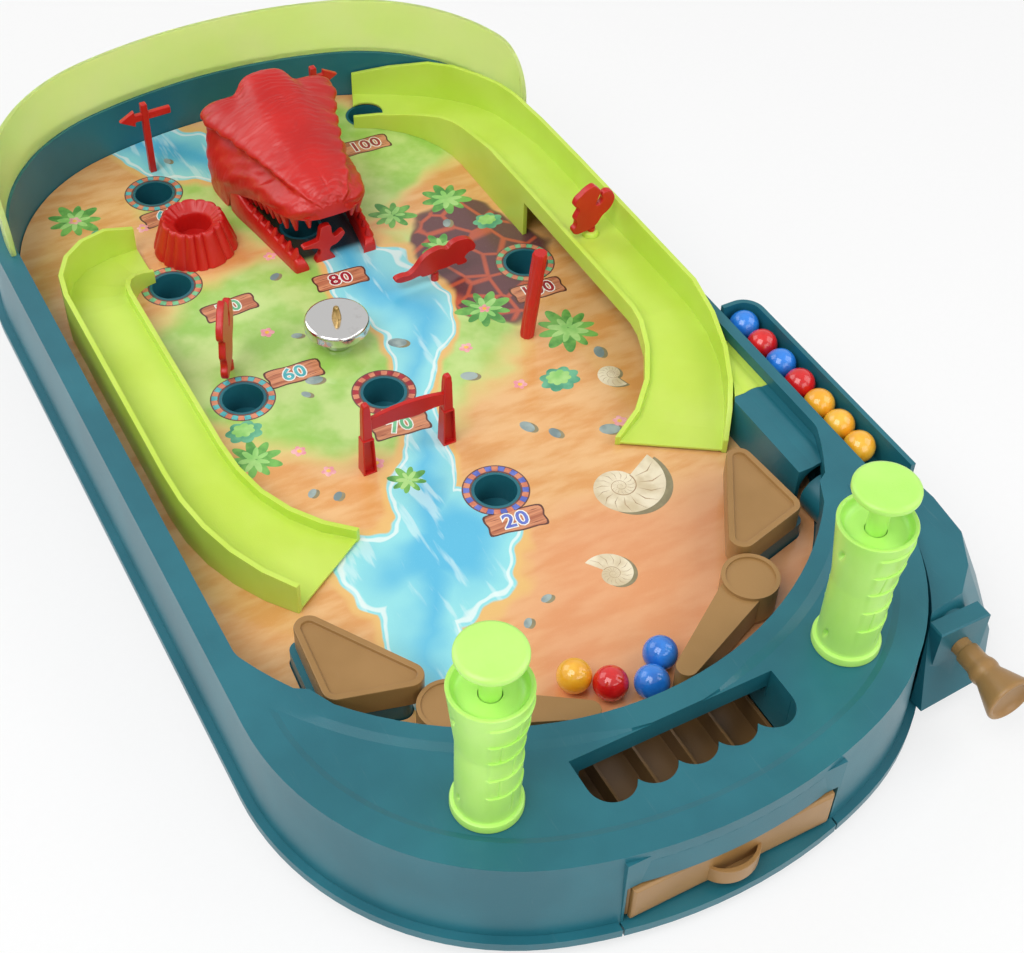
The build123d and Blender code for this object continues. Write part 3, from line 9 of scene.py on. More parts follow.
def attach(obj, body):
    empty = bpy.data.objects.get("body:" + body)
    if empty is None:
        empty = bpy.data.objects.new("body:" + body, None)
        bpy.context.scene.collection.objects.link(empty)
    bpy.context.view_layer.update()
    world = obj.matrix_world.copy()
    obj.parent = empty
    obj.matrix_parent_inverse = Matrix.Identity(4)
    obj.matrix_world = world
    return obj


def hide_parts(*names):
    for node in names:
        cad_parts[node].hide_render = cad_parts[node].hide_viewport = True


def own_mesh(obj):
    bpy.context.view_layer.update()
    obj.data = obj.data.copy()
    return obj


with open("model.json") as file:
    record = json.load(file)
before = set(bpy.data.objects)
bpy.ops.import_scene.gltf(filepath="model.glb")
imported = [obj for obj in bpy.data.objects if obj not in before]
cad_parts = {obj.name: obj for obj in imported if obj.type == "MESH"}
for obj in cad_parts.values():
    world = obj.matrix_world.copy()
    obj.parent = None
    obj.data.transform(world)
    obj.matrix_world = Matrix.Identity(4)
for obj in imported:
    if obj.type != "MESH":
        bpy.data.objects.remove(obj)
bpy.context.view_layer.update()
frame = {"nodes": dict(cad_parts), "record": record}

# Tray coordinates are millimetres with the tray level; the game stands with this slope on its feet.
SLOPE = math.radians(3.3)
FOOT_Y = -188.0
FOOT_HEIGHT = 7.0
STAND = (
    Matrix.Scale(0.001, 4)
    @ Matrix.Rotation(SLOPE, 4, "X")
    @ Matrix.Translation((0, -FOOT_Y, FOOT_HEIGHT))
)
LEVEL = STAND.inverted()

# Heights and places of the tray that the dressing shares with the solids
FIELD = 14.7
BED_FLOOR = 34.2
RIM_TOP = 35.0
FRONT_CENTRE = -75.0
BASIN_SHIFT = 1.75
BASIN_HALF = 103.25
FIELD_MIDDLE = -11.925
FIELD_HALF = 175.575
TOWER = (60.0, -196.0)


def field_spot(across, along):
    """A point of the playfield from shares of its half width and half length."""
    return BASIN_SHIFT + BASIN_HALF * across, FIELD_MIDDLE + FIELD_HALF * along


def ink(red, green, blue):
    """A colour as the eye names it, 0 to 255, in the renderer's linear light."""
    linear = []
    for value in (red, green, blue):
        share = value / 255
        linear.append(share / 12.92 if share <= 0.04045 else ((share + 0.055) / 1.055) ** 2.4)
    return (*linear, 1.0)


# Finishes


def plug(tree, socket, value):
    if isinstance(value, Wire):
        tree.links.new(value.socket, socket)
    else:
        socket.default_value = value


class Wire:
    """A socket of a finish. Sums and products on it add Math nodes."""

    def __init__(self, tree, socket):
        self.tree = tree
        self.socket = socket

    def step(self, operation, *terms):
        made = self.tree.nodes.new("ShaderNodeMath")
        made.operation = operation
        for socket, term in zip(made.inputs, terms):
            plug(self.tree, socket, term)
        return Wire(self.tree, made.outputs[0])

    def __add__(self, other):
        return self.step("ADD", self, other)

    def __radd__(self, other):
        return self.step("ADD", other, self)

    def __sub__(self, other):
        return self.step("SUBTRACT", self, other)

    def __rsub__(self, other):
        return self.step("SUBTRACT", other, self)

    def __mul__(self, other):
        return self.step("MULTIPLY", self, other)

    def __rmul__(self, other):
        return self.step("MULTIPLY", other, self)

    def __truediv__(self, other):
        return self.step("DIVIDE", self, other)

    def __abs__(self):
        return self.step("ABSOLUTE", self)

    def least(self, other):
        return self.step("MINIMUM", self, other)

    def most(self, other):
        return self.step("MAXIMUM", self, other)

    def sine(self):
        return self.step("SINE", self)

    def root(self):
        return self.step("SQRT", self)

    def fade(self, low, high):
        """Nothing below low, all above high, smooth between."""
        made = self.tree.nodes.new("ShaderNodeMapRange")
        made.interpolation_type = "SMOOTHSTEP"
        plug(self.tree, made.inputs["Value"], self)
        plug(self.tree, made.inputs["From Min"], low)
        plug(self.tree, made.inputs["From Max"], high)
        return Wire(self.tree, made.outputs[0])


class NodeTree:
    """Adds nodes to one tree."""

    def node(self, kind, settings=None, sockets=None, out=0):
        made = self.tree.nodes.new(kind)
        for key, value in (settings or {}).items():
            setattr(made, key, value)
        for key, value in (sockets or {}).items():
            plug(self.tree, made.inputs[key], value)
        return Wire(self.tree, made.outputs[out])


class Finish(NodeTree):
    """One material of the game."""

    def __init__(self, name):
        self.material = bpy.data.materials.new(name)
        self.material.use_nodes = True
        self.tree = self.material.node_tree
        self.tree.nodes.clear()
        self.surface = self.tree.nodes.new("ShaderNodeBsdfPrincipled")
        output = self.tree.nodes.new("ShaderNodeOutputMaterial")
        self.tree.links.new(self.surface.outputs[0], output.inputs["Surface"])

    def dress(self, sockets):
        for key, value in sockets.items():
            plug(self.tree, self.surface.inputs[key], value)
        return self.material

    def mix(self, share, first, second):
        return self.node("ShaderNodeMix", {"data_type": "RGBA"}, {0: share, 6: first, 7: second}, 2)

    def spot(self):
        """The shaded point in the level tray's millimetres."""
        seen = self.node("ShaderNodeTexCoord", out="Object")
        return self.node(
            "ShaderNodeMapping",
            {"vector_type": "POINT"},
            {
                "Vector": seen,
                "Location": (0, FOOT_Y, -FOOT_HEIGHT),
                "Rotation": (-SLOPE, 0, 0),
                "Scale": (1000, 1000, 1000),
            },
        )

    def stretch(self, at, scale, turn=0.0):
        return self.node(
            "ShaderNodeMapping",
            {"vector_type": "POINT"},
            {"Vector": at, "Rotation": (0, 0, turn), "Scale": scale},
        )

    def cloud(self, at, scale, detail=2.0, out="Fac", rough=0.5):
        sockets = {"Vector": at, "Scale": scale, "Detail": detail, "Roughness": rough}
        return self.node("ShaderNodeTexNoise", {}, sockets, out)

    def bump(self, height, distance):
        sockets = {"Strength": 1.0, "Distance": distance, "Height": height}
        return self.node("ShaderNodeBump", {}, sockets, "Normal")

    def axes(self, at):
        split = self.tree.nodes.new("ShaderNodeSeparateXYZ")
        plug(self.tree, split.inputs[0], at)
        return [Wire(self.tree, socket) for socket in split.outputs]


# Heights of the finest relief, in metres
ORANGE_PEEL = 0.00003
METAL_STROKES = 0.00002
BALL_SPECKS = 0.00001
RUBBER_GRIT = 0.00008
PAPER_FIBRE = 0.00001


def moulded(name, deep, light, rough, glow=0.0, clear=0.0, painted_shade_behind=None):
    """Moulded plastic: drifting tone, orange peel, scuffs, and painted shade behind a place along the tray."""
    finish = Finish(name)
    at = finish.spot()
    drift = finish.cloud(at, 0.035, 3.0)
    grain = finish.cloud(at, 2.4, 2.0)
    hair = finish.cloud(finish.stretch(at, (0.9, 0.06, 0.3), 0.5), 1.0, 4.0, rough=0.7)
    scuff = hair.fade(0.60, 0.78)
    tone = drift.fade(0.30, 0.70) * 0.8 + grain * 0.2
    colour = finish.mix(scuff * 0.025, finish.mix(tone, deep, light), ink(225, 225, 215))
    # Painted shade: behind that place along the tray the colour turns partly to a dark brown, standing in for
    # shade.
    if painted_shade_behind is not None:
        back = finish.axes(at)[1]
        colour = finish.mix(back.fade(painted_shade_behind, painted_shade_behind + 2) * 0.6, colour, ink(52, 34, 16))
    sockets = {
        "Base Color": colour,
        "Roughness": rough + (grain - 0.5) * 0.10 + scuff * 0.05,
        "Normal": finish.bump(grain + scuff * 0.2, ORANGE_PEEL),
        "IOR": 1.49,
    }
    if glow:
        sockets["Subsurface Weight"] = glow
        sockets["Subsurface Radius"] = (0.7, 1.0, 0.25)
        sockets["Subsurface Scale"] = 0.003
    if clear:
        sockets["Transmission Weight"] = clear
    return finish.dress(sockets)


def metal(name, colour, rough, stroke):
    """Polished metal with fine turned strokes and a little tarnish."""
    finish = Finish(name)
    at = finish.spot()
    strokes = finish.cloud(finish.stretch(at, stroke), 1.0, 3.0)
    tarnish = finish.cloud(at, 0.25, 4.0).fade(0.55, 0.80)
    dull = (colour[0] * 0.55, colour[1] * 0.52, colour[2] * 0.48, 1.0)
    return finish.dress({
        "Base Color": finish.mix(tarnish * 0.25, colour, dull),
        "Metallic": 1.0,
        "Roughness": rough + strokes * 0.06 + tarnish * 0.10,
        "Normal": finish.bump(strokes, METAL_STROKES),
    })


def polished_ball(name, deep, light):
    finish = Finish(name)
    at = finish.spot()
    swirl = finish.cloud(at, 0.16, 3.0)
    speck = finish.cloud(at, 1.8, 2.0).fade(0.62, 0.74)
    return finish.dress({
        "Base Color": finish.mix(swirl.fade(0.35, 0.65), deep, light),
        "Roughness": 0.13 + speck * 0.10,
        "Normal": finish.bump(speck, BALL_SPECKS),
        "Coat Weight": 0.4,
        "Coat Roughness": 0.05,
    })


def rubber(name):
    finish = Finish(name)
    at = finish.spot()
    grit = finish.cloud(at, 3.0, 3.0)
    dust = finish.cloud(at, 0.2, 4.0).fade(0.5, 0.8)
    return finish.dress({
        "Base Color": finish.mix(dust * 0.5, ink(42, 44, 45), ink(88, 86, 82)),
        "Roughness": 0.72 + grit * 0.2,
        "Normal": finish.bump(grit, RUBBER_GRIT),
    })


def printed_board(name):
    """Laminated print: sand, a meadow, a cracked rock bed, a stream, a pond, and painted shade under the head.
    """
    finish = Finish(name)
    at = finish.spot()
    x, y, z = finish.axes(at)
    waver = finish.axes(finish.cloud(at, 0.022, 3.0, "Color"))
    wide_x = x + (waver[0] - 0.5) * 46
    wide_y = y + (waver[1] - 0.5) * 46

    def oval(middle_x, middle_y, half_x, half_y):
        across = (wide_x - middle_x) / half_x
        along = (wide_y - middle_y) / half_y
        return across * across + along * along

    brush = finish.cloud(finish.stretch(at, (0.05, 0.16, 0.1), 0.6), 1.0, 4.0)
    daub = finish.cloud(at, 0.06, 3.0)

    sand = finish.mix(brush.fade(0.32, 0.68), ink(226, 160, 92), ink(238, 188, 130))
    blush = oval(40, -150, 70, 60)
    colour = finish.mix((1 - blush.fade(0.3, 1.2)) * 0.55, sand, ink(230, 152, 112))

    green = oval(-6, 14, 74, 62).least(oval(22, 118, 62, 46))
    grass = finish.mix(daub.fade(0.35, 0.65), ink(158, 205, 92), ink(199, 224, 138))
    colour = finish.mix(1 - green.fade(0.86, 1.16), colour, ink(226, 205, 128))
    colour = finish.mix(1 - green.fade(0.72, 0.98), colour, grass)

    bed = oval(58, 28, 26, 36)
    cracks = finish.node(
        "ShaderNodeTexVoronoi", {"feature": "DISTANCE_TO_EDGE"}, {"Vector": at, "Scale": 0.085}, "Distance"
    )
    rock = finish.mix(cracks.fade(0.02, 0.10), ink(196, 92, 66), ink(104, 62, 66))
    colour = finish.mix(1 - bed.fade(0.90, 1.06), colour, ink(120, 84, 66))
    colour = finish.mix(1 - bed.fade(0.82, 0.94), colour, rock)

    course = (y / 62 + 0.97).sine() * 36 - 14
    stream = abs(wide_x - course) - ((y / 19).sine() * 3 + 13)
    pond = oval(-24, -96, 1.25, 0.95).root() - 27
    water = stream.least(pond)
    ripple = finish.cloud(finish.stretch(at, (0.22, 0.035, 0.1), 0.25), 1.0, 3.0)
    deep = finish.mix(water.fade(-15, -2), ink(92, 190, 226), ink(150, 226, 232))
    deep = finish.mix(ripple.fade(0.56, 0.66) * 0.55, deep, ink(214, 244, 246))
    colour = finish.mix(1 - water.fade(1.2, 4.6), colour, ink(236, 190, 116))
    colour = finish.mix(1 - water.fade(-0.3, 0.5), colour, deep)
    foam = 1 - abs(water + 1.6).fade(0.35, 0.9)
    colour = finish.mix(foam * 0.75, colour, ink(240, 250, 246))

    # Painted shade: a near-black patch on the board under the head, where the head's shade falls.
    painted_head_shade = (abs(x - 9) - 15).most(abs(y - 84) - 24)
    colour = finish.mix((1 - painted_head_shade.fade(-2, 2)) * 0.94, colour, ink(24, 32, 44))

    face = z.fade(FIELD - 0.12, FIELD - 0.04)
    colour = finish.mix(face, ink(224, 222, 214), colour)
    fibre = finish.cloud(at, 3.5, 2.0)
    return finish.dress({
        "Base Color": colour,
        "Roughness": 0.22 + fibre * 0.08,
        "Normal": finish.bump(fibre, PAPER_FIBRE),
        "Coat Weight": 0.35,
        "Coat Roughness": 0.06,
    })


def print_ink(name, deep, light, grain, turn):
    """One printed colour under the board's gloss, with a brushed change of tone."""
    finish = Finish(name)
    at = finish.spot()
    brush = finish.cloud(finish.stretch(at, grain, turn), 1.0, 4.0)
    fibre = finish.cloud(at, 3.5, 2.0)
    return finish.dress({
        "Base Color": finish.mix(brush.fade(0.35, 0.65), deep, light),
        "Roughness": 0.32 + fibre * 0.08,
        "Normal": finish.bump(fibre, PAPER_FIBRE),
        "Coat Weight": 0.2,
    })


TEAL = moulded("teal_moulding", ink(26, 97, 111), ink(36, 111, 125), 0.36)
LIME = moulded("lime_moulding", ink(194, 222, 76), ink(206, 232, 100), 0.34, glow=0.25)
FENCE = moulded("fence_moulding", ink(232, 255, 150), ink(240, 255, 170), 0.34, glow=0.26, clear=0.6)
GREEN = moulded("tower_moulding", ink(178, 236, 104), ink(196, 246, 126), 0.30, glow=0.20)
BROWN = moulded("brown_moulding", ink(152, 114, 64), ink(168, 128, 78), 0.36)
# The drawer's brown, with painted shade inside the drawer behind its front plate.
DRAWER_BROWN_PAINTED_SHADE = moulded("drawer_moulding_painted_shade", ink(152, 114, 64), ink(168, 128, 78), 0.36, painted_shade_behind=-229.0)
RED = moulded("red_moulding", ink(182, 20, 16), ink(204, 30, 24), 0.36, glow=0.06)
WHITE = moulded("white_moulding", ink(214, 214, 208), ink(228, 228, 222), 0.45)
BOARD = printed_board("printed_board")
CHROME = metal("plated_bell", (0.66, 0.65, 0.64, 1.0), 0.09, (0.6, 0.6, 6.0))
BRASS = metal("brass_turning", (0.46, 0.31, 0.12, 1.0), 0.32, (0.5, 0.5, 8.0))
STEEL = metal("spring_wire", (0.56, 0.57, 0.58, 1.0), 0.28, (2.0, 2.0, 2.0))
BLUE_BALL = polished_ball("blue_ball_gloss", ink(30, 114, 212), ink(48, 136, 236))
RED_BALL = polished_ball("red_ball_gloss", ink(212, 20, 24), ink(232, 36, 36))
YELLOW_BALL = polished_ball("yellow_ball_gloss", ink(250, 174, 36), ink(255, 194, 62))
FOOT_RUBBER = rubber("foot_rubber_black")

SLOT_FINISH = {
    "teal_plastic": TEAL,
    "lime_plastic": LIME,
    "green_plastic": GREEN,
    "brown_plastic": BROWN,
    "red_plastic": RED,
    "white_plastic": WHITE,
    "printed_sheet": BOARD,
    "blue_ball": BLUE_BALL,
    "red_ball": RED_BALL,
    "yellow_ball": YELLOW_BALL,
    "plated_metal": CHROME,
    "brass_tip": BRASS,
    "spring_steel": STEEL,
    "screw_steel": STEEL,
    "foot_rubber": FOOT_RUBBER,
}
node_slot = {row["node"]: row["material_slot"] for row in frame["record"]["subparts"]}
node_body = {node: body for body, nodes in frame["record"]["behaviour"]["bodies"].items() for node in nodes}


# Making pieces


def put(name, data):
    """A new object in the scene."""
    made = bpy.data.objects.new(name, data)
    bpy.context.scene.collection.objects.link(made)
    return made


def baked(carrier):
    """What an object's modifiers or letters make, as a plain mesh in place of the object."""
    depsgraph = bpy.context.evaluated_depsgraph_get()
    result = bpy.data.meshes.new_from_object(carrier.evaluated_get(depsgraph))
    bpy.data.objects.remove(carrier)
    return result


def show(name, mesh, finish, body, stands_for=()):
    """A finished mesh as a piece of the game that rides on a body."""
    piece = put(name, mesh)
    mesh.materials.clear()
    mesh.materials.append(finish)
    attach(piece, body)
    if stands_for:
        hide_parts(*stands_for)
    return piece


def stand_for(node, mesh, finish=None):
    """A finished mesh in place of a node's solid."""
    slot = node_slot[node]
    return show(f"{node}_dressed", mesh, finish or SLOT_FINISH[slot], node_body[node], (node,))


def evaluated(mesh, modifiers):
    """The mesh after a stack of modifiers, as a plain mesh."""
    carrier = put("carrier", mesh)
    for kind, settings in modifiers:
        made = carrier.modifiers.new(kind.lower(), kind)
        for key, value in settings.items():
            setattr(made, key, value)
    return baked(carrier)


def smooth_by_angle(mesh, angle=38.0):
    for polygon in mesh.polygons:
        polygon.use_smooth = True
    mesh.set_sharp_from_angle(angle=math.radians(angle))
    return mesh


def flat_faces_flat(mesh):
    """Shading that follows the large faces, so a flat face beside a rounded edge stays flat."""
    return evaluated(mesh, [("WEIGHTED_NORMAL", {"weight": 90, "keep_sharp": True, "mode": "FACE_AREA"})])


def merged_copy(node):
    """A node's solid as a closed mesh with its flat faces whole."""
    mesh = frame["nodes"][node].data.copy()
    if "custom_normal" in mesh.attributes:
        mesh.attributes.remove(mesh.attributes["custom_normal"])
    shape = bmesh.new()
    shape.from_mesh(mesh)
    bmesh.ops.remove_doubles(shape, verts=shape.verts, dist=0.000003)
    bmesh.ops.dissolve_limit(shape, angle_limit=math.radians(0.4), verts=shape.verts, edges=shape.edges)
    shape.to_mesh(mesh)
    shape.free()
    return mesh


def eased(mesh, width, steps=2, angle=34.0, creased=None):
    """The mesh with its edges rounded by a radius in millimetres. creased marks edges to keep crisp."""
    mesh = evaluated(mesh, [(
        "BEVEL",
        {
            "width": width / 1000,
            "segments": steps,
            "limit_method": "ANGLE",
            "angle_limit": math.radians(angle),
            "use_clamp_overlap": True,
            "miter_outer": "MITER_ARC",
        },
    )])
    smooth_by_angle(mesh)
    if creased:
        creased(mesh)
    return flat_faces_flat(mesh)


def corners_cut(mesh, width, chosen):
    """The mesh with a flat cut along the edges that are chosen by their ends in tray millimetres."""
    shape = bmesh.new()
    shape.from_mesh(mesh)
    edges = [edge for edge in shape.edges if all(chosen(LEVEL @ vertex.co) for vertex in edge.verts)]
    bmesh.ops.bevel(
        shape,
        geom=edges,
        offset=width / 1000,
        offset_type="OFFSET",
        segments=1,
        profile=0.5,
        affect="EDGES",
        clamp_overlap=True,
    )
    shape.to_mesh(mesh)
    shape.free()
    return mesh


def outward(mesh):
    """The mesh with doubled points joined and its faces turned outward."""
    shape = bmesh.new()
    shape.from_mesh(mesh)
    bmesh.ops.remove_doubles(shape, verts=shape.verts, dist=0.000002)
    bmesh.ops.recalc_face_normals(shape, faces=shape.faces)
    shape.to_mesh(mesh)
    shape.free()
    return mesh


def solid(name, points, faces):
    """A mesh drawn in tray millimetres, put where the standing game has it."""
    mesh = bpy.data.meshes.new(name)
    mesh.from_pydata(points, [], faces)
    mesh.transform(STAND)
    mesh.update()
    return outward(mesh)


def joined(name, meshes):
    """Several meshes as one."""
    whole = bmesh.new()
    for mesh in meshes:
        whole.from_mesh(mesh)
    result = bpy.data.meshes.new(name)
    whole.to_mesh(result)
    whole.free()
    return result


def tray_box(node):
    """A node's lowest and highest corners in the level tray's millimetres."""
    corners = [LEVEL @ vertex.co for vertex in frame["nodes"][node].data.vertices]
    return [[pick(c[axis] for c in corners) for axis in range(3)] for pick in (min, max)]


def flowing(points, steps, closed=True):
    """A smooth line through the points, with that many steps between each two."""
    count = len(points)
    line = []
    for index in range(count if closed else count - 1):
        near = []
        for offset in (-1, 0, 1, 2):
            place = index + offset
            near.append(points[place % count if closed else min(max(place, 0), count - 1)])
        for step in range(steps):
            t = step / steps
            line.append(tuple(
                0.5 * (
                    2 * b + (c - a) * t
                    + (2 * a - 5 * b + 4 * c - d) * t * t + (3 * b - a - 3 * c + d) * t ** 3
                )
                for a, b, c, d in zip(*near)
            ))
    if not closed:
        line.append(tuple(points[-1]))
    return line


def prism(outline, low, high):
    """Points and faces of an outline raised from low to high."""
    count = len(outline)
    points = [(x, y, low) for x, y in outline] + [(x, y, high) for x, y in outline]
    faces = [tuple(range(count - 1, -1, -1)), tuple(range(count, 2 * count))]
    faces += [(i, (i + 1) % count, count + (i + 1) % count, count + i) for i in range(count)]
    return points, faces


def skin(rings, close_ends=True):
    """Faces between rings of equally many points."""
    count = len(rings[0])
    points = [point for ring in rings for point in ring]
    faces = []
    for row in range(len(rings) - 1):
        for i in range(count):
            j = (i + 1) % count
            faces.append((row * count + i, row * count + j, (row + 1) * count + j, (row + 1) * count + i))
    if close_ends:
        faces.append(tuple(range(count - 1, -1, -1)))
        faces.append(tuple((len(rings) - 1) * count + i for i in range(count)))
    return points, faces


def turned(profile, centre, count, relief=None):
    """A profile of (radius, height) turned about an upright axis. relief changes a radius at an angle."""
    rings = []
    for i in range(count):
        angle = 2 * math.pi * i / count
        ring = []
        for radius, height in profile:
            reach = relief(radius, height, angle) if relief else radius
            ring.append((centre[0] + reach * math.cos(angle), centre[1] + reach * math.sin(angle), height))
        rings.append(ring)
    rings.append(rings[0])
    return skin(rings, close_ends=False)


class Recipe(NodeTree):
    """A Geometry Nodes tree with named sizes, run into a plain mesh drawn in tray millimetres."""

    def __init__(self, name, sizes):
        self.name = name
        self.tree = bpy.data.node_groups.new(name, "GeometryNodeTree")
        face = self.tree.interface
        face.new_socket("Geometry", in_out="INPUT", socket_type="NodeSocketGeometry")
        self.labels = {}
        for label, kind in {**sizes, "Finish": "Material"}.items():
            made = face.new_socket(label, in_out="INPUT", socket_type=f"NodeSocket{kind}")
            self.labels[label] = made.identifier
        face.new_socket("Geometry", in_out="OUTPUT", socket_type="NodeSocketGeometry")
        self.start = self.tree.nodes.new("NodeGroupInput")
        self.end = self.tree.nodes.new("NodeGroupOutput")

    def size(self, label):
        return Wire(self.tree, self.start.outputs[label])

    def spread(self, points, shape, turn, scale):
        sockets = {"Points": points, "Instance": shape, "Rotation": turn, "Scale": scale}
        return self.node("GeometryNodeInstanceOnPoints", {}, sockets)

    def vector(self, x, y, z):
        return self.node("ShaderNodeCombineXYZ", {}, {0: x, 1: y, 2: z})

    def chance(self, low, high, seed):
        sockets = {2: low, 3: high, "Seed": seed}
        return self.node("FunctionNodeRandomValue", {"data_type": "FLOAT"}, sockets, 1)

    def ellipsoid(self, *labels):
        """A ball stretched to three named sizes."""
        ball = self.node("GeometryNodeMeshIcoSphere", {}, {"Radius": 1.0, "Subdivisions": 3})
        halves = self.vector(*(self.size(label) * 0.5 for label in labels))
        return self.node("GeometryNodeTransform", {}, {"Geometry": ball, "Scale": halves})

    def given(self):
        """The points that the recipe is run on."""
        return Wire(self.tree, self.start.outputs["Geometry"])

    def noted(self, label):
        return self.node("GeometryNodeInputNamedAttribute", {"data_type": "FLOAT_VECTOR"}, {"Name": label})

    def close(self, shape):
        whole = self.node("GeometryNodeRealizeInstances", {}, {"Geometry": shape})
        sockets = {"Geometry": whole, "Material": self.size("Finish")}
        dressed = self.node("GeometryNodeSetMaterial", {}, sockets)
        plug(self.tree, self.end.inputs[0], dressed)
        return self

    def made(self, values, base=None):
        carrier = put(self.name, base or bpy.data.meshes.new(self.name))
        maker = carrier.modifiers.new(self.name, "NODES")
        maker.node_group = self.tree
        for label, value in values.items():
            maker[self.labels[label]] = value
        return baked(carrier)


def spots(places, turns=None, sizes=None):
    """Points that a recipe stands its pieces on, each with its own turn and size."""
    mesh = bpy.data.meshes.new("spots")
    mesh.from_pydata([tuple(p) for p in places], [], [])
    for label, rows, usual in (("turn", turns, (0, 0, 0)), ("size", sizes, (1, 1, 1))):
        noted = mesh.attributes.new(label, "FLOAT_VECTOR", "POINT")
        for index in range(len(places)):
            noted.data[index].vector = rows[index] if rows else usual
    return mesh


def wound_spring():
    labels = ("Turns", "Coil Radius", "Wire Radius", "Length")
    recipe = Recipe("wound_spring", {label: "Float" for label in labels})
    path = recipe.node("GeometryNodeCurveSpiral", {}, {
        "Resolution": 26, "Rotations": recipe.size("Turns"), "Start Radius": recipe.size("Coil Radius"),
        "End Radius": recipe.size("Coil Radius"), "Height": recipe.size("Length"),
    })
    wire = recipe.node("GeometryNodeCurvePrimitiveCircle", {"mode": "RADIUS"}, {
        "Resolution": 8, "Radius": recipe.size("Wire Radius"),
    })
    return recipe.close(recipe.node("GeometryNodeCurveToMesh", {}, {
        "Curve": path, "Profile Curve": wire, "Fill Caps": True,
    }))


def teeth_row():
    recipe = Recipe("teeth_row", {"Tooth Width": "Float", "Tooth Length": "Float"})
    tooth = recipe.node("GeometryNodeMeshCone", {"fill_type": "NGON"}, {
        "Vertices": 9, "Side Segments": 3, "Radius Top": recipe.size("Tooth Width") * 0.15,
        "Radius Bottom": recipe.size("Tooth Width") * 0.5, "Depth": recipe.size("Tooth Length"),
    })
    return recipe.close(recipe.spread(recipe.given(), tooth, recipe.noted("turn"), recipe.noted("size")))


def tile_ring():
    recipe = Recipe("tile_ring", {
        "Tiles": "Int", "Ring Radius": "Float",
        "Tile Length": "Float", "Tile Width": "Float", "Tile Height": "Float",
    })
    points = recipe.node("GeometryNodeMeshCircle", {"fill_type": "NONE"}, {
        "Vertices": recipe.size("Tiles"), "Radius": recipe.size("Ring Radius"),
    })
    sides = (recipe.size(label) for label in ("Tile Width", "Tile Length", "Tile Height"))
    tile = recipe.node("GeometryNodeMeshCube", {}, {"Size": recipe.vector(*sides)})
    turn = recipe.node("GeometryNodeInputIndex") * (2 * math.pi) / recipe.size("Tiles")
    return recipe.close(recipe.spread(points, tile, recipe.vector(0.0, 0.0, turn), (1, 1, 1)))


def leaf_fan():
    recipe = Recipe("leaf_fan", {
        "Leaves": "Int", "Reach": "Float", "Leaf Width": "Float", "Leaf Height": "Float", "Seed": "Int",
    })
    points = recipe.node("GeometryNodeMeshCircle", {"fill_type": "NONE"}, {
        "Vertices": recipe.size("Leaves"), "Radius": recipe.size("Reach") * 0.5,
    })
    leaf = recipe.ellipsoid("Reach", "Leaf Width", "Leaf Height")
    turn = recipe.node("GeometryNodeInputIndex") * (2 * math.pi) / recipe.size("Leaves")
    size = recipe.chance(0.72, 1.12, recipe.size("Seed"))
    spread = recipe.spread(points, leaf, recipe.vector(0.0, 0.0, turn), recipe.vector(size, size, 1.0))
    return recipe.close(spread)


def scattered_stones():
    recipe = Recipe("scattered_stones", {
        "Stone Length": "Float", "Stone Width": "Float", "Stone Height": "Float", "Seed": "Int",
    })
    stone = recipe.ellipsoid("Stone Length", "Stone Width", "Stone Height")
    turn = recipe.chance(0.0, math.pi, recipe.size("Seed"))
    size = recipe.chance(0.55, 1.25, recipe.size("Seed") + 1)
    turns = recipe.vector(0.0, 0.0, turn)
    return recipe.close(recipe.spread(recipe.given(), stone, turns, recipe.vector(size, size, 1.0)))


def cross_screws():
    recipe = Recipe("cross_screws", {"Head Radius": "Float", "Head Height": "Float"})
    head = recipe.node("GeometryNodeMeshCylinder", {"fill_type": "NGON"}, {
        "Vertices": 28, "Radius": recipe.size("Head Radius"), "Depth": recipe.size("Head Height"),
    })
    lower = recipe.node("GeometryNodeTransform", {}, {
        "Geometry": head, "Translation": recipe.vector(0.0, 0.0, recipe.size("Head Height") * 0.5),
    })
    cross = lower
    reach = recipe.size("Head Radius") * 1.1
    slot = recipe.size("Head Radius") * 0.24
    for sides in ((reach, slot), (slot, reach)):
        size = recipe.vector(*sides, recipe.size("Head Height"))
        cut = recipe.node("GeometryNodeMeshCube", {}, {"Size": size})
        meshes = {"Mesh 1": cross, "Mesh 2": cut}
        cross = recipe.node("GeometryNodeMeshBoolean", {"operation": "DIFFERENCE"}, meshes)
    return recipe.close(recipe.spread(recipe.given(), cross, recipe.noted("turn"), recipe.noted("size")))


# Pieces that are shown as their solids
for node in ("playfield_floor", "score_cups", "bottom_cover", "playfield_sheet"):
    plain = frame["nodes"][node]
    plain.data.materials.clear()
    plain.data.materials.append(SLOT_FINISH[node_slot[node]])

# Moulding radius of each piece that keeps its solid's shape, in millimetres
ROUNDED_EDGES = {
    "launch_cover": 0.4, "launch_collar": 0.4,
    "rear_legs": 1.0, "front_foot": 1.0, "left_button": 0.4, "right_button": 0.4,
    "left_push_rod": 0.3, "right_push_rod": 0.3, "left_flipper": 0.5, "right_flipper": 0.5,
    "left_slingshot": 0.5, "right_slingshot": 0.5, "left_ramp": 0.4, "right_ramp": 0.4, "back_fence": 0.5,
    "bumper_bell": 0.6,
}
for node, width in ROUNDED_EDGES.items():
    stand_for(node, eased(merged_copy(node), width), FENCE if node == "back_fence" else None)


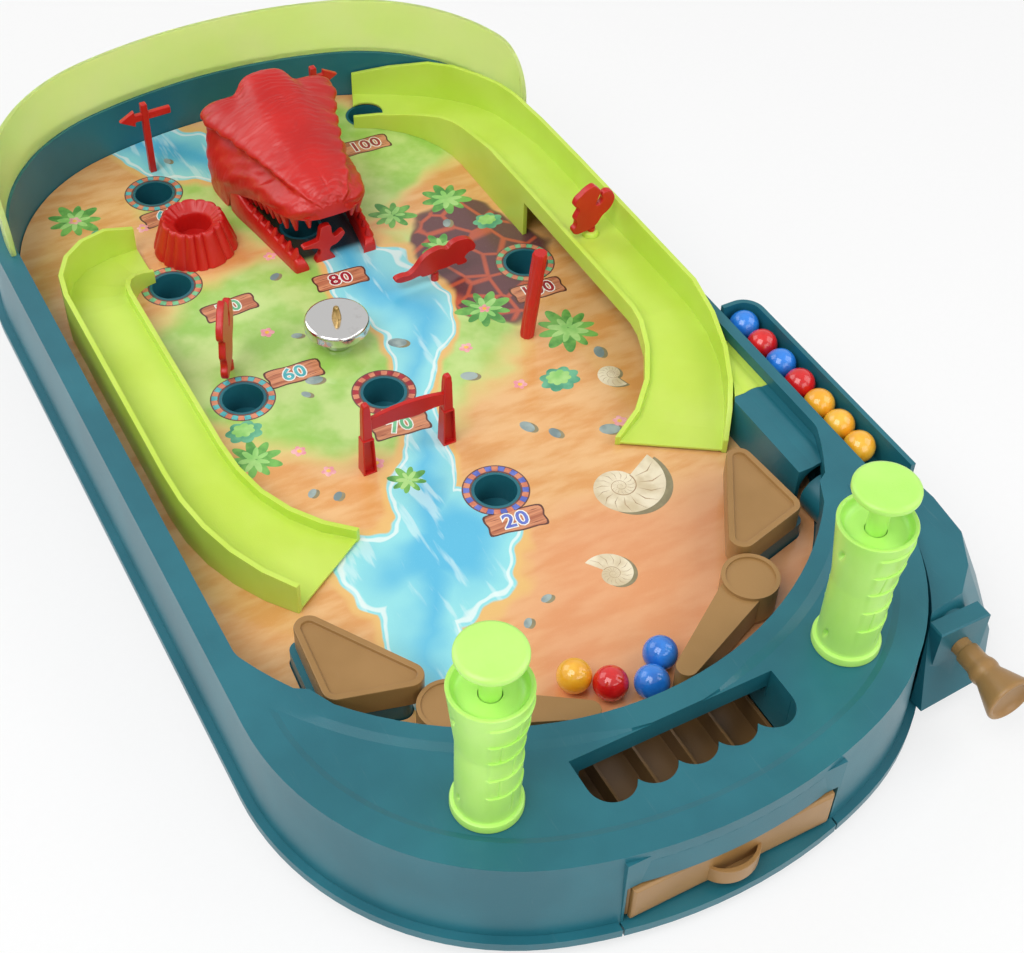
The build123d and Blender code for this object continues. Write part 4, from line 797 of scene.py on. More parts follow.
# Tray: the walls of the bed in the front deck slope. A wall has its centre and radius
TRAY_EDGE = 0.9
BED_BACK = -143.0
BASIN_WALL = (BASIN_SHIFT, -75.5, 120.0)
FRONT_WALL = (0.0, FRONT_CENTRE, 147.5)
CORNER_WALL = (23.0, -143.23, 75.5)
CORNER_START = 47.1
BASIN_SLOPE = 2.8
FRONT_SLOPE = 2.0
BACK_SLOPE = 3.0
WINDOW_HALF = 12.0
WINDOW_FADE = 16.0
ON_WALL = 0.15
AT_RIM = 0.02
PAST_BACK = 0.2
CRISP_RISE = 0.03
CRISP_FLOOR = 0.2
CRISP_RIM = 0.3


def bed_walls(spot):
    """The gap from each wall of the bed, the way out of the bed there, and how far the wall slopes."""
    inner = Vector((spot.x - BASIN_WALL[0], spot.y - BASIN_WALL[1], 0.0))
    side = math.copysign(1.0, spot.x)
    x, y, radius = CORNER_WALL if abs(spot.x) > CORNER_START else FRONT_WALL
    outer = Vector((spot.x - side * x, spot.y - y, 0.0))
    beside_window = min(max((abs(inner.x) - WINDOW_HALF) / WINDOW_FADE, 0.0), 1.0)
    return (
        (BASIN_WALL[2] - inner.length, -inner.normalized(), BASIN_SLOPE * beside_window),
        (outer.length - radius, outer.normalized(), FRONT_SLOPE),
        (spot.y - BED_BACK, Vector((0.0, 1.0, 0.0)), BACK_SLOPE),
    )


def sloped_bed(mesh):
    """The mesh with the upper edge of the bed's walls moved away from the bed."""
    for vertex in mesh.vertices:
        spot = LEVEL @ vertex.co
        if abs(spot.z - RIM_TOP) < AT_RIM and spot.y < BED_BACK + PAST_BACK:
            for gap, out, slope in bed_walls(spot):
                if abs(gap) < ON_WALL:
                    spot = spot + out * slope
            vertex.co = STAND @ spot
    return mesh


def crisp_bed(mesh):
    """Keeps the two edges of the slope crisp."""
    places = []
    for vertex in mesh.vertices:
        spot = LEVEL @ vertex.co
        walls = bed_walls(spot)
        below = min(abs(gap) for gap, _, _ in walls)
        above = min(abs(gap - slope) for gap, _, slope in walls)
        if abs(spot.z - BED_FLOOR) < CRISP_RISE and below < CRISP_FLOOR:
            places.append("floor")
        elif abs(spot.z - RIM_TOP) < CRISP_RISE and above < CRISP_RIM:
            places.append("rim")
        else:
            places.append(None)
    for edge in mesh.edges:
        start, end = (places[vertex] for vertex in edge.vertices)
        if start and start == end:
            edge.use_edge_sharp = True


stand_for("upper_shell", eased(sloped_bed(merged_copy("upper_shell")), TRAY_EDGE, creased=crisp_bed))


# Launcher: the upper corners of the barrel's mouth are cut a little
MOUTH_FACE = (-206.2, -196.0)
MOUTH_EDGES = (89.5, 108.5)
MOUTH_RISE = 29.7
MOUTH_CUT = 5.2
LAUNCHER_EDGE = 0.7
DRAWER_EDGE = 0.4


def mouth_corner(spot):
    beside = min(abs(spot.x - edge) for edge in MOUTH_EDGES)
    return MOUTH_FACE[0] < spot.y < MOUTH_FACE[1] and beside < 0.1 and abs(spot.z - MOUTH_RISE) < 0.1


launcher = corners_cut(merged_copy("launcher_housing"), MOUTH_CUT, mouth_corner)
stand_for("launcher_housing", eased(launcher, LAUNCHER_EDGE))
stand_for("drawer", eased(merged_copy("drawer"), DRAWER_EDGE), DRAWER_BROWN_PAINTED_SHADE)
for node in node_slot:
    if node.endswith(("_ball", "_balls")):
        stand_for(node, smooth_by_angle(merged_copy(node), 80))


# Great head: distance along the tray, crown height, then half width and height of brow, hollow, cheek, lip
HEAD_X = 9.0
HEAD_LOW = (-19.4, 55.55, FIELD)
HEAD_HIGH = (36.4, 123.95, 61.65)
HEAD_SECTIONS = (
    (124.0, 50.0, 14.0, 45.0, 18.0, 38.0, 19.5, 28.0, 19.0, 14.7),
    (122.0, 58.5, 20.0, 48.5, 22.5, 41.0, 23.5, 29.0, 22.8, 14.7),
    (118.5, 61.3, 25.0, 50.0, 24.6, 43.6, 26.0, 30.0, 25.0, 14.7),
    (114.0, 61.2, 26.7, 50.2, 23.8, 44.0, 26.6, 30.0, 25.4, 14.7),
    (108.0, 60.2, 25.2, 49.2, 20.8, 43.6, 26.2, 30.0, 25.0, 14.7),
    (104.0, 59.0, 23.4, 48.6, 18.6, 43.0, 25.6, 30.0, 24.4, 15.0),
    (101.5, 58.3, 22.3, 48.2, 17.6, 42.7, 25.0, 30.4, 23.8, 21.5),
    (97.0, 57.0, 20.6, 47.8, 16.8, 42.3, 23.2, 32.0, 22.6, 24.2),
    (90.0, 54.8, 18.4, 47.2, 15.6, 42.2, 21.2, 34.4, 20.8, 27.0),
    (82.0, 52.2, 15.8, 46.6, 14.2, 42.4, 19.6, 36.6, 19.6, 30.4),
    (74.0, 49.7, 13.4, 46.0, 13.0, 42.6, 18.4, 38.2, 18.6, 32.6),
    (67.0, 47.8, 11.0, 45.0, 12.0, 42.4, 17.2, 38.8, 17.6, 34.2),
    (62.0, 46.3, 9.0, 44.2, 10.8, 42.0, 15.2, 38.8, 15.6, 34.8),
    (59.0, 44.8, 7.6, 43.0, 9.2, 41.2, 12.4, 38.6, 12.6, 34.9),
    (57.0, 42.8, 5.8, 41.6, 7.0, 40.2, 9.2, 38.2, 9.2, 34.9),
    (55.7, 40.0, 3.6, 39.4, 4.4, 38.8, 5.4, 37.4, 5.4, 35.0),
)
MOUTH_CORNER = 103.0
MOUTH_ROOF = 36.5
MOUTH_FRONT = 58.5
PROFILE_STEPS = 8
WRINKLE_PITCH = 2.5


def hill(distance, width):
    return math.exp(-((distance / width) ** 2))


def head_relief(zone, across, along, height):
    """How far the skin stands out: crown wrinkles, brow lumps, eye and nostril hollows, cheek folds."""
    at = Vector((across, along, height))
    drift = noise.noise(at * 0.11)
    relief = 0.16 * noise.noise(at * 0.9)
    top = max(0.0, 1.0 - (zone / 2.1) ** 4)
    fold = along - 0.012 * across * across + 4.0 * drift + 0.9 * noise.noise(at * 0.34)
    depth = 0.10 + 0.16 * max(0.0, noise.noise(at * 0.16) + 0.35)
    relief += depth * top * math.sin(2 * math.pi * fold / WRINKLE_PITCH)
    if zone < 2:
        relief -= 3.8 * hill(abs(across) - 14.0, 5.0) * hill(along - 118.0, 11.0)
    lumps = math.sin(2 * math.pi * along / 7.3 + (1.1 if across > 0 else 0.0))
    relief += 0.55 * hill(zone - 2.0, 0.40) * lumps
    relief += 0.5 * hill(zone - 2.0, 0.30)
    side = min(1.0, max(0.0, zone - 2.6))
    relief += 0.26 * side * math.sin(2 * math.pi * (0.55 * along + 0.8 * height + 3.0 * drift) / 5.2)
    if zone > 1.8:
        relief -= 2.4 * hill(along - 107.5, 4.6) * hill(height - 44.2, 2.6)
        relief -= 1.4 * hill(along - 86.0, 8.0) * hill(height - 42.0, 2.6)
        relief += 0.9 * hill(along - 99.0, 3.2) * hill(height - 33.0, 5.0)
    relief -= 1.5 * hill(abs(across) - 7.4, 1.9) * hill(along - 60.6, 1.9) * hill(height - 43.2, 2.0)
    if zone < 1.2 and along < 70:
        relief -= 0.45 * hill(across, 0.55) * hill(along - 62.5, 4.0)
    return relief


def great_head():
    rings = []
    zones = []
    for along, crown, *pairs in flowing(HEAD_SECTIONS, 14, closed=False):
        brow, hollow, cheek, lip = (tuple(pairs[i:i + 2]) for i in range(0, 8, 2))
        shoulder = (0.45 * brow[0], crown - 0.16 * (crown - brow[1]))
        outer = flowing([(0.0, crown), shoulder, brow, hollow, cheek, lip], PROFILE_STEPS, closed=False)
        open_share = min(1.0, max(0.0, (MOUTH_CORNER - along) / 2), max(0.0, (along - MOUTH_FRONT) / 3))
        roof = lip[1] + open_share * (max(MOUTH_ROOF, lip[1] + 2.5) - lip[1])
        inner = [
            (0.90 * lip[0], lip[1] + 0.1 * open_share), (0.84 * lip[0], lip[1] + 0.5 * (roof - lip[1])),
            (0.60 * lip[0], roof), (0.30 * lip[0], roof + 0.4 * open_share), (0.0, roof + 0.6 * open_share),
        ]
        half = outer + inner
        whole = half + [(-x, z) for x, z in reversed(half[1:-1])]
        rings.append([(HEAD_X + x, along, z) for x, z in whole])
        marks = [i / PROFILE_STEPS for i in range(len(outer))] + [None] * len(inner)
        zones += marks + list(reversed(marks[1:-1]))
    points, faces = skin(rings)
    shape = bpy.data.meshes.new("great_head")
    shape.from_pydata(points, [], faces)
    outward(shape)
    moved = []
    for vertex, zone in zip(shape.vertices, zones):
        place = vertex.co.copy()
        if zone is not None and zone < 4.95:
            place += vertex.normal * head_relief(zone, place.x - HEAD_X, place.y, place.z)
        moved.append([min(max(c, low), high) for c, low, high in zip(place, HEAD_LOW, HEAD_HIGH)])
    for vertex, place in zip(shape.vertices, moved):
        vertex.co = place
    shape.transform(STAND)
    shape.update()
    return smooth_by_angle(shape, 62)


def lip_at(along):
    """Half width and height of the upper lip at a distance along the tray."""
    for far, near in zip(HEAD_SECTIONS, HEAD_SECTIONS[1:]):
        if near[0] <= along <= far[0]:
            share = (far[0] - along) / (far[0] - near[0])
            return [a + (b - a) * share for a, b in zip(far[-2:], near[-2:])]
    return HEAD_SECTIONS[-1][-2:]


teeth = teeth_row()


def set_teeth(rows, width):
    """Teeth of one width at base from rows of place, turn and size."""
    mesh = teeth.made({"Tooth Width": width, "Tooth Length": 1.0, "Finish": RED}, spots(*zip(*rows)))
    mesh.transform(STAND)
    return smooth_by_angle(mesh, 50)


# Upper teeth: distance along the tray and length
UPPER_TOOTH = 4.3
TOOTH_ROOT = 1.2
TOOTH_INSET = 2.1
UPPER_TEETH = (
    (58.2, 4.4), (61.8, 6.6), (66.4, 7.6), (71.0, 7.2), (75.6, 6.6), (80.0, 6.0), (84.2, 5.2), (88.0, 4.4),
    (91.4, 3.6), (94.4, 2.8),
)
upper_rows = []
for along, length in UPPER_TEETH:
    half, height = lip_at(along)
    thick = 0.62 + 0.06 * length
    for side in (-1, 1):
        upper_rows.append((
            (HEAD_X + side * (half - TOOTH_INSET), along + 0.4, height + TOOTH_ROOT),
            (math.pi, side * 0.10, 0),
            (thick, thick, length + TOOTH_ROOT),
        ))
stand_for("head", joined("great_head", [great_head(), set_teeth(upper_rows, UPPER_TOOTH)]))

# Lower jaw: distance along the tray, outer half width and top height of a bar
JAW_SECTIONS = (
    (53.6, 16.4, 18.8), (55.5, 17.0, 20.2), (62.0, 18.0, 21.0), (72.0, 19.4, 21.5), (84.0, 21.2, 22.4),
    (91.0, 22.4, 23.4), (96.0, 23.2, 25.6), (101.0, 23.6, 27.4),
)
JAW_X = 8.5
JAW_BAR = 4.8
JAW_TOP = 24.3
LOWER_TOOTH = 3.7
LOWER_TEETH = 8
LOWER_TEETH_START = 57.0
LOWER_TEETH_PITCH = 4.9


def jaw_bar(side):
    rings = []
    for along, half, top in flowing(JAW_SECTIONS, 7, closed=False):
        rise = top - FIELD
        section = [
            (half - JAW_BAR, 0.0), (half - 0.4, 0.0), (half, 0.10 * rise), (half + 0.1, 0.45 * rise),
            (half - 0.5, 0.84 * rise), (half - 1.2, 0.98 * rise), (half - 2.2, rise),
            (half - JAW_BAR + 1.4, 0.97 * rise), (half - JAW_BAR + 0.5, 0.88 * rise),
            (half - JAW_BAR, 0.5 * rise),
        ]
        ring = []
        for x, z in flowing(section, 3):
            rough = 0.14 * noise.noise(Vector((side * x, along, z)) * 0.7) if z > 0.3 else 0.0
            ring.append((JAW_X + side * (x + rough), along, FIELD + max(0.0, z + rough)))
        rings.append(ring)
    return smooth_by_angle(solid("jaw_bar", *skin(rings)), 55)


lower_rows = []
for side in (-1, 1):
    for step in range(LOWER_TEETH):
        along = LOWER_TEETH_START + LOWER_TEETH_PITCH * step
        share = (along - JAW_SECTIONS[0][0]) / 45.4
        half = 16.8 + 6.4 * share - 1.9
        foot = 19.6 + 2.6 * share
        length = JAW_TOP - foot + 0.25 * math.sin(2.3 * step)
        thick = 1.0 - 0.03 * step
        lower_rows.append((
            (JAW_X + side * half, along, foot),
            (0.12, -side * 0.16, 0),
            (thick, thick, length),
        ))
stand_for("jaw", joined("jaw", [jaw_bar(-1), jaw_bar(1), set_teeth(lower_rows, LOWER_TOOTH)]))


# Volcano: a fluted cone with a funnel mouth
VOLCANO = (-35.7, 86.6)
VOLCANO_PROFILE = (
    (0.0, 14.7), (15.2, 14.7), (15.9, 14.9), (15.7, 15.8), (15.2, 17.2), (14.7, 18.8), (14.2, 20.4),
    (13.6, 22.0), (13.1, 23.6), (12.6, 25.2), (12.15, 26.6), (11.85, 27.6), (11.5, 28.2), (11.0, 28.5),
    (10.5, 28.3), (9.9, 27.8), (9.2, 27.2), (8.4, 26.6), (7.6, 26.0), (7.0, 25.5), (6.7, 24.8),
    (6.6, 23.0), (6.5, 20.5), (6.4, 18.0), (0.0, 17.8),
)


def volcano_flutes(radius, height, angle):
    if height < 14.75 or radius < 6.95:
        return radius
    ridge = abs(math.sin(8.5 * angle + 0.7 * math.sin(3 * angle) + 0.35 * math.sin(7 * angle)))
    fold = ridge ** 0.6 - 0.75
    depth = 1.25 if radius > 11.2 else 0.9 * (radius - 6.9) / 4.3
    bump = 0.18 * noise.noise(Vector((6 * math.cos(angle), 6 * math.sin(angle), 0.5 * height)))
    return min(radius + depth * fold + bump, 15.95)


volcano = solid("volcano", *turned(VOLCANO_PROFILE, VOLCANO, 204, volcano_flutes))
stand_for("volcano", smooth_by_angle(volcano, 50))


# Towers: plain on one side, stepped courses with joints on the other, a wide cup on top
COURSE_BASE = 41.0
COURSE_HEIGHT = 8.2
COURSE_COUNT = 5
COURSE_STEP = 0.55
PLAIN_HALF_ANGLE = 56.0
STEM_HOLE = 3.25
TOWER_BORE = 7.0
JOINT_PITCH = 52.0
DENTS = ((77.5, 0.35), (42.5, 0.25))


def column_radius(height):
    return 9.0 + 2.5 * max(0.0, (height - 63.7) / 23.0)


def tower_profile():
    """Radius and height from the foot's bore up the outside and down into the cup."""
    rows = [
        (TOWER_BORE, BED_FLOOR), (10.0, BED_FLOOR), (10.3, 34.5), (10.3, 36.4), (10.1, 36.95), (9.6, 37.2),
        (9.15, 37.25), (9.0, 37.5),
    ]
    rows += [(9.0, 38.4 + 0.8 * i) for i in range(4)]
    for course in range(COURSE_COUNT):
        low = COURSE_BASE + COURSE_HEIGHT * course
        for step in range(11):
            height = low + 0.12 + (COURSE_HEIGHT - 0.12) * step / 10
            rows.append((column_radius(height), height))
    rows += [(column_radius(82.4 + 0.9 * i), 82.4 + 0.9 * i) for i in range(5)]
    rows += [
        (11.48, 86.4), (11.25, 86.7), (10.5, 86.7), (10.2, 86.5), (9.9, 85.6), (9.3, 84.4), (8.4, 83.7),
        (7.0, 83.4),
    ]
    return rows + [(STEM_HOLE, 83.2), (STEM_HOLE, 70.7), (TOWER_BORE, 70.7)]


def tower_relief(radius, height, angle):
    """Steps and joints of the courses on one side, and two slanting dents where the plain side faces."""
    if not 37.6 < height < 86.0 or radius < column_radius(height) - 0.05:
        return radius
    off_plain = abs(math.degrees(angle) % 360.0 - 180.0)
    stepped = min(1.0, max(0.0, (off_plain - PLAIN_HALF_ANGLE) / 9.0))
    stepped = stepped * stepped * (3 - 2 * stepped)
    course = (height - COURSE_BASE) / COURSE_HEIGHT
    if 0 <= course <= COURSE_COUNT + 0.001:
        row = min(int(course - 1e-6), COURSE_COUNT - 1) if course > 0 else 0
        share = course - row
        radius += COURSE_STEP * stepped * share
        joint = (math.degrees(angle) + JOINT_PITCH / 2 * (row % 2)) % JOINT_PITCH - JOINT_PITCH / 2
        radius -= 0.32 * stepped * max(0.0, 1.0 - abs(joint) / 2.4)
    for dent_height, lean in DENTS:
        across = math.radians(off_plain if angle > math.pi else -off_plain) * radius
        rise = height - dent_height
        reach = (across - lean * rise) ** 2 + (rise / 2.1) ** 2
        radius -= 1.3 * max(0.0, 1.0 - reach)
    return radius


for side, name in ((-1, "left"), (1, "right")):
    tower = turned(tower_profile(), (side * TOWER[0], TOWER[1]), 180, tower_relief)
    stand_for(f"{name}_tower", smooth_by_angle(solid(f"{name}_tower", *tower), 40))


# Flat figures: outlines as shares of their length and height
FRILLED_OUTLINE = (
    (0.00, 0.30), (0.03, 0.38), (0.10, 0.40), (0.18, 0.38), (0.26, 0.52), (0.34, 0.74), (0.44, 0.88),
    (0.55, 0.92), (0.64, 0.84), (0.69, 0.94), (0.76, 1.00), (0.85, 0.99), (0.93, 0.90), (0.99, 0.70),
    (0.98, 0.54), (0.91, 0.50), (0.86, 0.38), (0.89, 0.24), (0.86, 0.17), (0.78, 0.18), (0.74, 0.26),
    (0.62, 0.22), (0.52, 0.22), (0.44, 0.16), (0.34, 0.16), (0.30, 0.22), (0.18, 0.18), (0.06, 0.20),
)
CRESTED_OUTLINE = (
    (0.44, 1.00), (0.54, 0.95), (0.64, 0.85), (0.62, 0.77), (0.55, 0.62), (0.56, 0.57), (0.64, 0.58),
    (0.70, 0.66), (0.67, 0.75), (0.76, 0.81), (0.90, 0.78), (0.98, 0.68), (1.00, 0.58), (0.94, 0.45),
    (0.84, 0.36), (0.73, 0.30), (0.65, 0.20), (0.56, 0.12), (0.46, 0.08), (0.30, 0.06), (0.11, 0.05),
    (0.02, 0.11), (0.01, 0.19), (0.07, 0.24), (0.08, 0.32), (0.04, 0.41), (0.13, 0.56), (0.08, 0.62),
    (0.01, 0.70), (0.06, 0.81), (0.17, 0.88), (0.28, 0.95),
)
REACHING_OUTLINE = (
    (0.30, 0.00), (0.72, 0.00), (0.70, 0.10), (0.62, 0.22), (0.66, 0.36), (0.82, 0.42), (1.00, 0.62),
    (0.95, 0.72), (0.78, 0.62), (0.70, 0.74), (0.68, 0.96), (0.56, 1.00), (0.44, 0.96), (0.40, 0.76),
    (0.34, 0.62), (0.05, 0.58), (0.00, 0.50), (0.28, 0.44), (0.40, 0.34), (0.38, 0.22), (0.30, 0.12),
)
FIGURE_THICK = 2.6
PIN_RADIUS = 1.5
PIN_TOP = 3.4
FIGURE_LIFT = 1.6
RAMP_FIGURE = (92.05, 6.49)
RAMP_FLOOR = 0.9
BOSS_HEIGHT = 1.9
BOSS_RADII = (3.4, 2.6)


def upright_plate(outline, spot, foot, turn, thick):
    """An outline of (across, up) stood up at a spot, with its thickness about the spot."""
    points, faces = prism(outline, -thick / 2, thick / 2)
    stood = []
    for across, up, off in points:
        stood.append((
            spot[0] + across * math.cos(turn) + off * math.sin(turn),
            spot[1] + across * math.sin(turn) - off * math.cos(turn), foot + up,
        ))
    return solid("plate", stood, faces)


def pin(spot, low, high, radius, top_radius=None, count=24):
    profile = [(0.0, low), (radius, low), (radius if top_radius is None else top_radius, high), (0.0, high)]
    return solid("pin", *turned(profile, spot, count))


# Node, outline, spot, length and turn in degrees
FIGURES = (
    ("flat_figure", FRILLED_OUTLINE, field_spot(0.343, 0.225), 34.0, 0.0),
    ("thin_figure", CRESTED_OUTLINE, field_spot(-0.503, 0.161), 22.0, 60.0),
    ("ramp_figure", CRESTED_OUTLINE, RAMP_FIGURE, 17.5, 0.0),
    ("mouth_figure", REACHING_OUTLINE, field_spot(0.0315, 0.3954), 17.0, 0.0),
)
for node, outline, spot, length, turn in FIGURES:
    low, high = tray_box(node)
    lift = 0.0 if node == "mouth_figure" else FIGURE_LIFT
    scaled = [((x - 0.5) * length, lift + y * (high[2] - low[2] - lift)) for x, y in flowing(outline, 4)]
    plate = upright_plate(scaled, spot, low[2], math.radians(turn), FIGURE_THICK)
    parts = [eased(plate, 0.6, 3)]
    if lift:
        foot = low[2] + (RAMP_FLOOR if node == "ramp_figure" else 0.0)
        parts.append(smooth_by_angle(pin(spot, foot, low[2] + PIN_TOP, PIN_RADIUS)))
    stand_for(node, joined(node, parts))
low, high = tray_box("ramp_figure")
boss = eased(pin(RAMP_FIGURE, low[2], low[2] + BOSS_HEIGHT, *BOSS_RADII, 36), 0.4)
show("ramp_figure_boss", boss, LIME, "cabinet")


# Leaning log with bark ridges
LOG_FOOT = field_spot(0.495, -0.024)
LOG_LEAN = 4.0
LOG_HEIGHT = 37.0
LOG_RADIUS = 2.5
LOG_STEPS = 44
LOG_SIDES = 72
rings = []
for step in range(LOG_STEPS + 1):
    share = step / LOG_STEPS
    end = 0.88 if step in (0, LOG_STEPS) else 1.0
    ring = []
    for i in range(LOG_SIDES):
        angle = 2 * math.pi * i / LOG_SIDES
        bark = noise.noise(Vector((2 * math.cos(angle), 2 * math.sin(angle), 9 * share)))
        ridge = 0.22 * abs(math.sin(4.5 * angle + 0.8 * math.sin(5 * share))) + 0.12 * bark
        knot = 0.35 * hill(share - 0.42, 0.05) * hill(angle - 3.9, 0.5)
        reach = (LOG_RADIUS + ridge + knot) * end
        ring.append((
            LOG_FOOT[0] + LOG_LEAN * share + reach * math.cos(angle),
            LOG_FOOT[1] + reach * math.sin(angle),
            FIELD + LOG_HEIGHT * share,
        ))
    rings.append(ring)
stand_for("log_post", smooth_by_angle(solid("log_post", *skin(rings)), 48))


# Gate: posts with a pocket in the foot and a slim upper blade, and an arched banner
GATE_SPOTS = (field_spot(-0.289, -0.226), field_spot(0.003, -0.223))
GATE_TOP = FIELD + 31.0
GATE_WAIST = FIELD + 15.5
BANNER_BASE = FIELD + 18.0
BANNER_HALF_THICK = 0.85
BANNER_STEPS = 32


def rectangle_ring(spot, half_x, half_y, height):
    return [
        (spot[0] - half_x, spot[1] - half_y, height), (spot[0] + half_x, spot[1] - half_y, height),
        (spot[0] + half_x, spot[1] + half_y, height), (spot[0] - half_x, spot[1] + half_y, height),
    ]


def gate_post(spot):
    foot_points, foot_faces = skin([
        rectangle_ring(spot, 2.5, 2.4, FIELD), rectangle_ring(spot, 2.1, 1.9, GATE_WAIST),
    ])
    foot = bpy.data.meshes.new("gate_foot")
    foot.from_pydata(foot_points, [], foot_faces)
    shape = bmesh.new()
    shape.from_mesh(foot)
    bmesh.ops.recalc_face_normals(shape, faces=shape.faces)
    shape.faces.ensure_lookup_table()
    front = min(shape.faces, key=lambda face: face.normal.y)
    bmesh.ops.inset_region(shape, faces=[front], thickness=0.95)
    bmesh.ops.inset_region(shape, faces=[front], thickness=0.12, depth=-1.9)
    shape.to_mesh(foot)
    shape.free()
    foot.transform(STAND)
    blade = solid("gate_blade", *skin([
        rectangle_ring(spot, 1.75, 1.5, GATE_WAIST - 0.5), rectangle_ring(spot, 1.5, 1.3, GATE_TOP - 4.0),
        rectangle_ring(spot, 1.25, 1.15, GATE_TOP - 1.0), rectangle_ring(spot, 0.7, 0.7, GATE_TOP),
    ]))
    return [eased(foot, 0.3), eased(blade, 0.4, 3, 20)]


def gate_banner():
    start, end = GATE_SPOTS
    span = end[0] - start[0]
    upper, lower = [], []
    for step in range(BANNER_STEPS + 1):
        share = step / BANNER_STEPS
        arch = 4 * share * (1 - share)
        across = start[0] + span * share
        upper.append((across, BANNER_BASE + 5.0 + 2.0 * arch))
        lower.append((across, BANNER_BASE + 0.5 * arch - hill(share - 0.60, 0.16) + 0.3))
    middle = (start[1] + end[1]) / 2
    points, faces = prism(lower + upper[::-1], -BANNER_HALF_THICK, BANNER_HALF_THICK)
    return eased(solid("banner", [(x, middle - y, z) for x, z, y in points], faces), 0.35)


stand_for("gate", joined("gate", gate_post(GATE_SPOTS[0]) + gate_post(GATE_SPOTS[1]) + [gate_banner()]))


# Arrow signs
ARROW_HEIGHT = 26.2
ARROW_THICK = 2.0
ARROW = (
    (10.5, -1.5), (10.5, 1.5), (-4.2, 1.5), (-4.2, 3.5), (-10.5, 0.2), (-4.2, -3.5), (-4.2, -1.5),
)
for node, spot, way in (
    ("left_signpost", field_spot(-0.341, 0.863), 1), ("right_signpost", field_spot(0.332, 0.831), -1),
):
    low, high = tray_box(node)
    outline = [(way * x, ARROW_HEIGHT + z + 0.02 * x) for x, z in ARROW]
    arrow = eased(upright_plate(outline, spot, low[2], 0.0, ARROW_THICK), 0.4)
    post = solid("post", *skin([
        rectangle_ring(spot, 1.3, 1.3, low[2]), rectangle_ring(spot, 1.25, 1.25, high[2] - 0.4),
        rectangle_ring(spot, 0.95, 0.95, high[2]),
    ]))
    stand_for(node, joined(node, [arrow, eased(post, 0.35)]))


# Tapered brass tip of the bumper: shares of its half width and height
TIP_SHARES = (
    (0.72, 0.00), (0.76, 0.04), (0.76, 0.12), (0.70, 0.30), (0.60, 0.55), (0.50, 0.80), (0.42, 0.93),
    (0.30, 0.99),
)
FLAT_SHARE = 0.52
FLAT_TURN = 0.6
low, high = tray_box("bumper_tip")
BELL = ((low[0] + high[0]) / 2, (low[1] + high[1]) / 2)
tall = high[2] - low[2]
tip_half = (high[0] - low[0]) / 2
tip_profile = [(tip_half * radius, low[2] + tall * rise) for radius, rise in TIP_SHARES]
tip_profile = [(0.0, low[2]), *tip_profile, (0.0, high[2])]


def flattened_tip(radius, height, angle):
    """Two flats for the spanner."""
    return min(radius, FLAT_SHARE * tip_half / max(abs(math.cos(angle - FLAT_TURN)), 1e-6))


tip = solid("bumper_tip", *turned(tip_profile, BELL, 96, flattened_tip))
stand_for("bumper_tip", smooth_by_angle(tip, 36))


# Plunger: radius and distance towards the front, from the head in the barrel to the dished trumpet knob
LANE = (99.0, 20.2)
PLUNGER_PROFILE = (
    (0.0, 149.0), (5.4, 149.0), (5.8, 149.4), (5.8, 153.6), (5.4, 154.0), (3.2, 154.0), (3.2, 208.8),
    (3.7, 209.0), (4.0, 209.4), (4.0, 214.0), (4.2, 215.0), (4.65, 216.0), (4.85, 217.0), (4.85, 218.0),
    (4.6, 219.0), (4.6, 219.8), (5.2, 221.2), (6.0, 223.2), (6.8, 225.2), (7.5, 227.0), (8.0, 228.3),
    (8.18, 229.1), (8.0, 229.7), (7.5, 229.98), (6.9, 229.9), (6.4, 229.4), (5.9, 228.7), (5.2, 228.3),
    (0.0, 228.2),
)
points, faces = turned(PLUNGER_PROFILE, (0.0, 0.0), 64)
points = [(LANE[0] + across, -ahead, LANE[1] + up) for across, up, ahead in points]
stand_for("plunger", smooth_by_angle(solid("plunger", points, faces), 42))


# Front of the tray: bevelled drawer plate, wall above the drawer, ends of the window's skirt
PANEL_FACE = -230.4
WALL_FOOT = 3.4
WALL_REACH = 159.4
WALL_DRAFT = 1.4
DRAWER_TOP = 20.7
LIP_BASE = 30.0
PLATE_HALF = 33.5
PLATE_BEVEL = 0.7
CHEEK_SIDES = (34.1, 34.9)
CHEEK_BASE = 13.8
CHEEKS = ((-213.0, -205.6, 32.6), (-205.6, -184.5, 22.0))


def plate_ring(ahead, half, low, high):
    return [(x, ahead, z) for x, z in ((-half, low), (half, low), (half, high), (-half, high))]


plate = eased(solid("drawer_plate", *skin([
    plate_ring(-229.8, PLATE_HALF, 4.2, 19.6),
    plate_ring(-231.2, PLATE_HALF, 4.6, 19.5),
    plate_ring(-231.9, PLATE_HALF - PLATE_BEVEL, 7.3, 18.8),
])), 0.25, 2, 15)
show("drawer_plate", plate, DRAWER_BROWN_PAINTED_SHADE, "drawer")

rings = []
for height in (DRAWER_TOP, 23.5, 26.8, LIP_BASE):
    reach = WALL_REACH - WALL_DRAFT * (height - WALL_FOOT) / (LIP_BASE - WALL_FOOT)
    end = math.asin(math.sqrt(reach ** 2 - (FRONT_CENTRE - PANEL_FACE) ** 2) / reach)
    arc = [end * (step / 20 - 1) for step in range(41)]
    front = [(reach * math.sin(a), FRONT_CENTRE - reach * math.cos(a), height) for a in arc]
    back = [(reach * math.sin(end) * (1 - step / 10), PANEL_FACE + 0.4, height) for step in range(21)]
    rings.append(front + back)
brow = smooth_by_angle(solid("drawer_brow", *skin(rings)), 30)
show("drawer_brow", brow, TEAL, "cabinet")

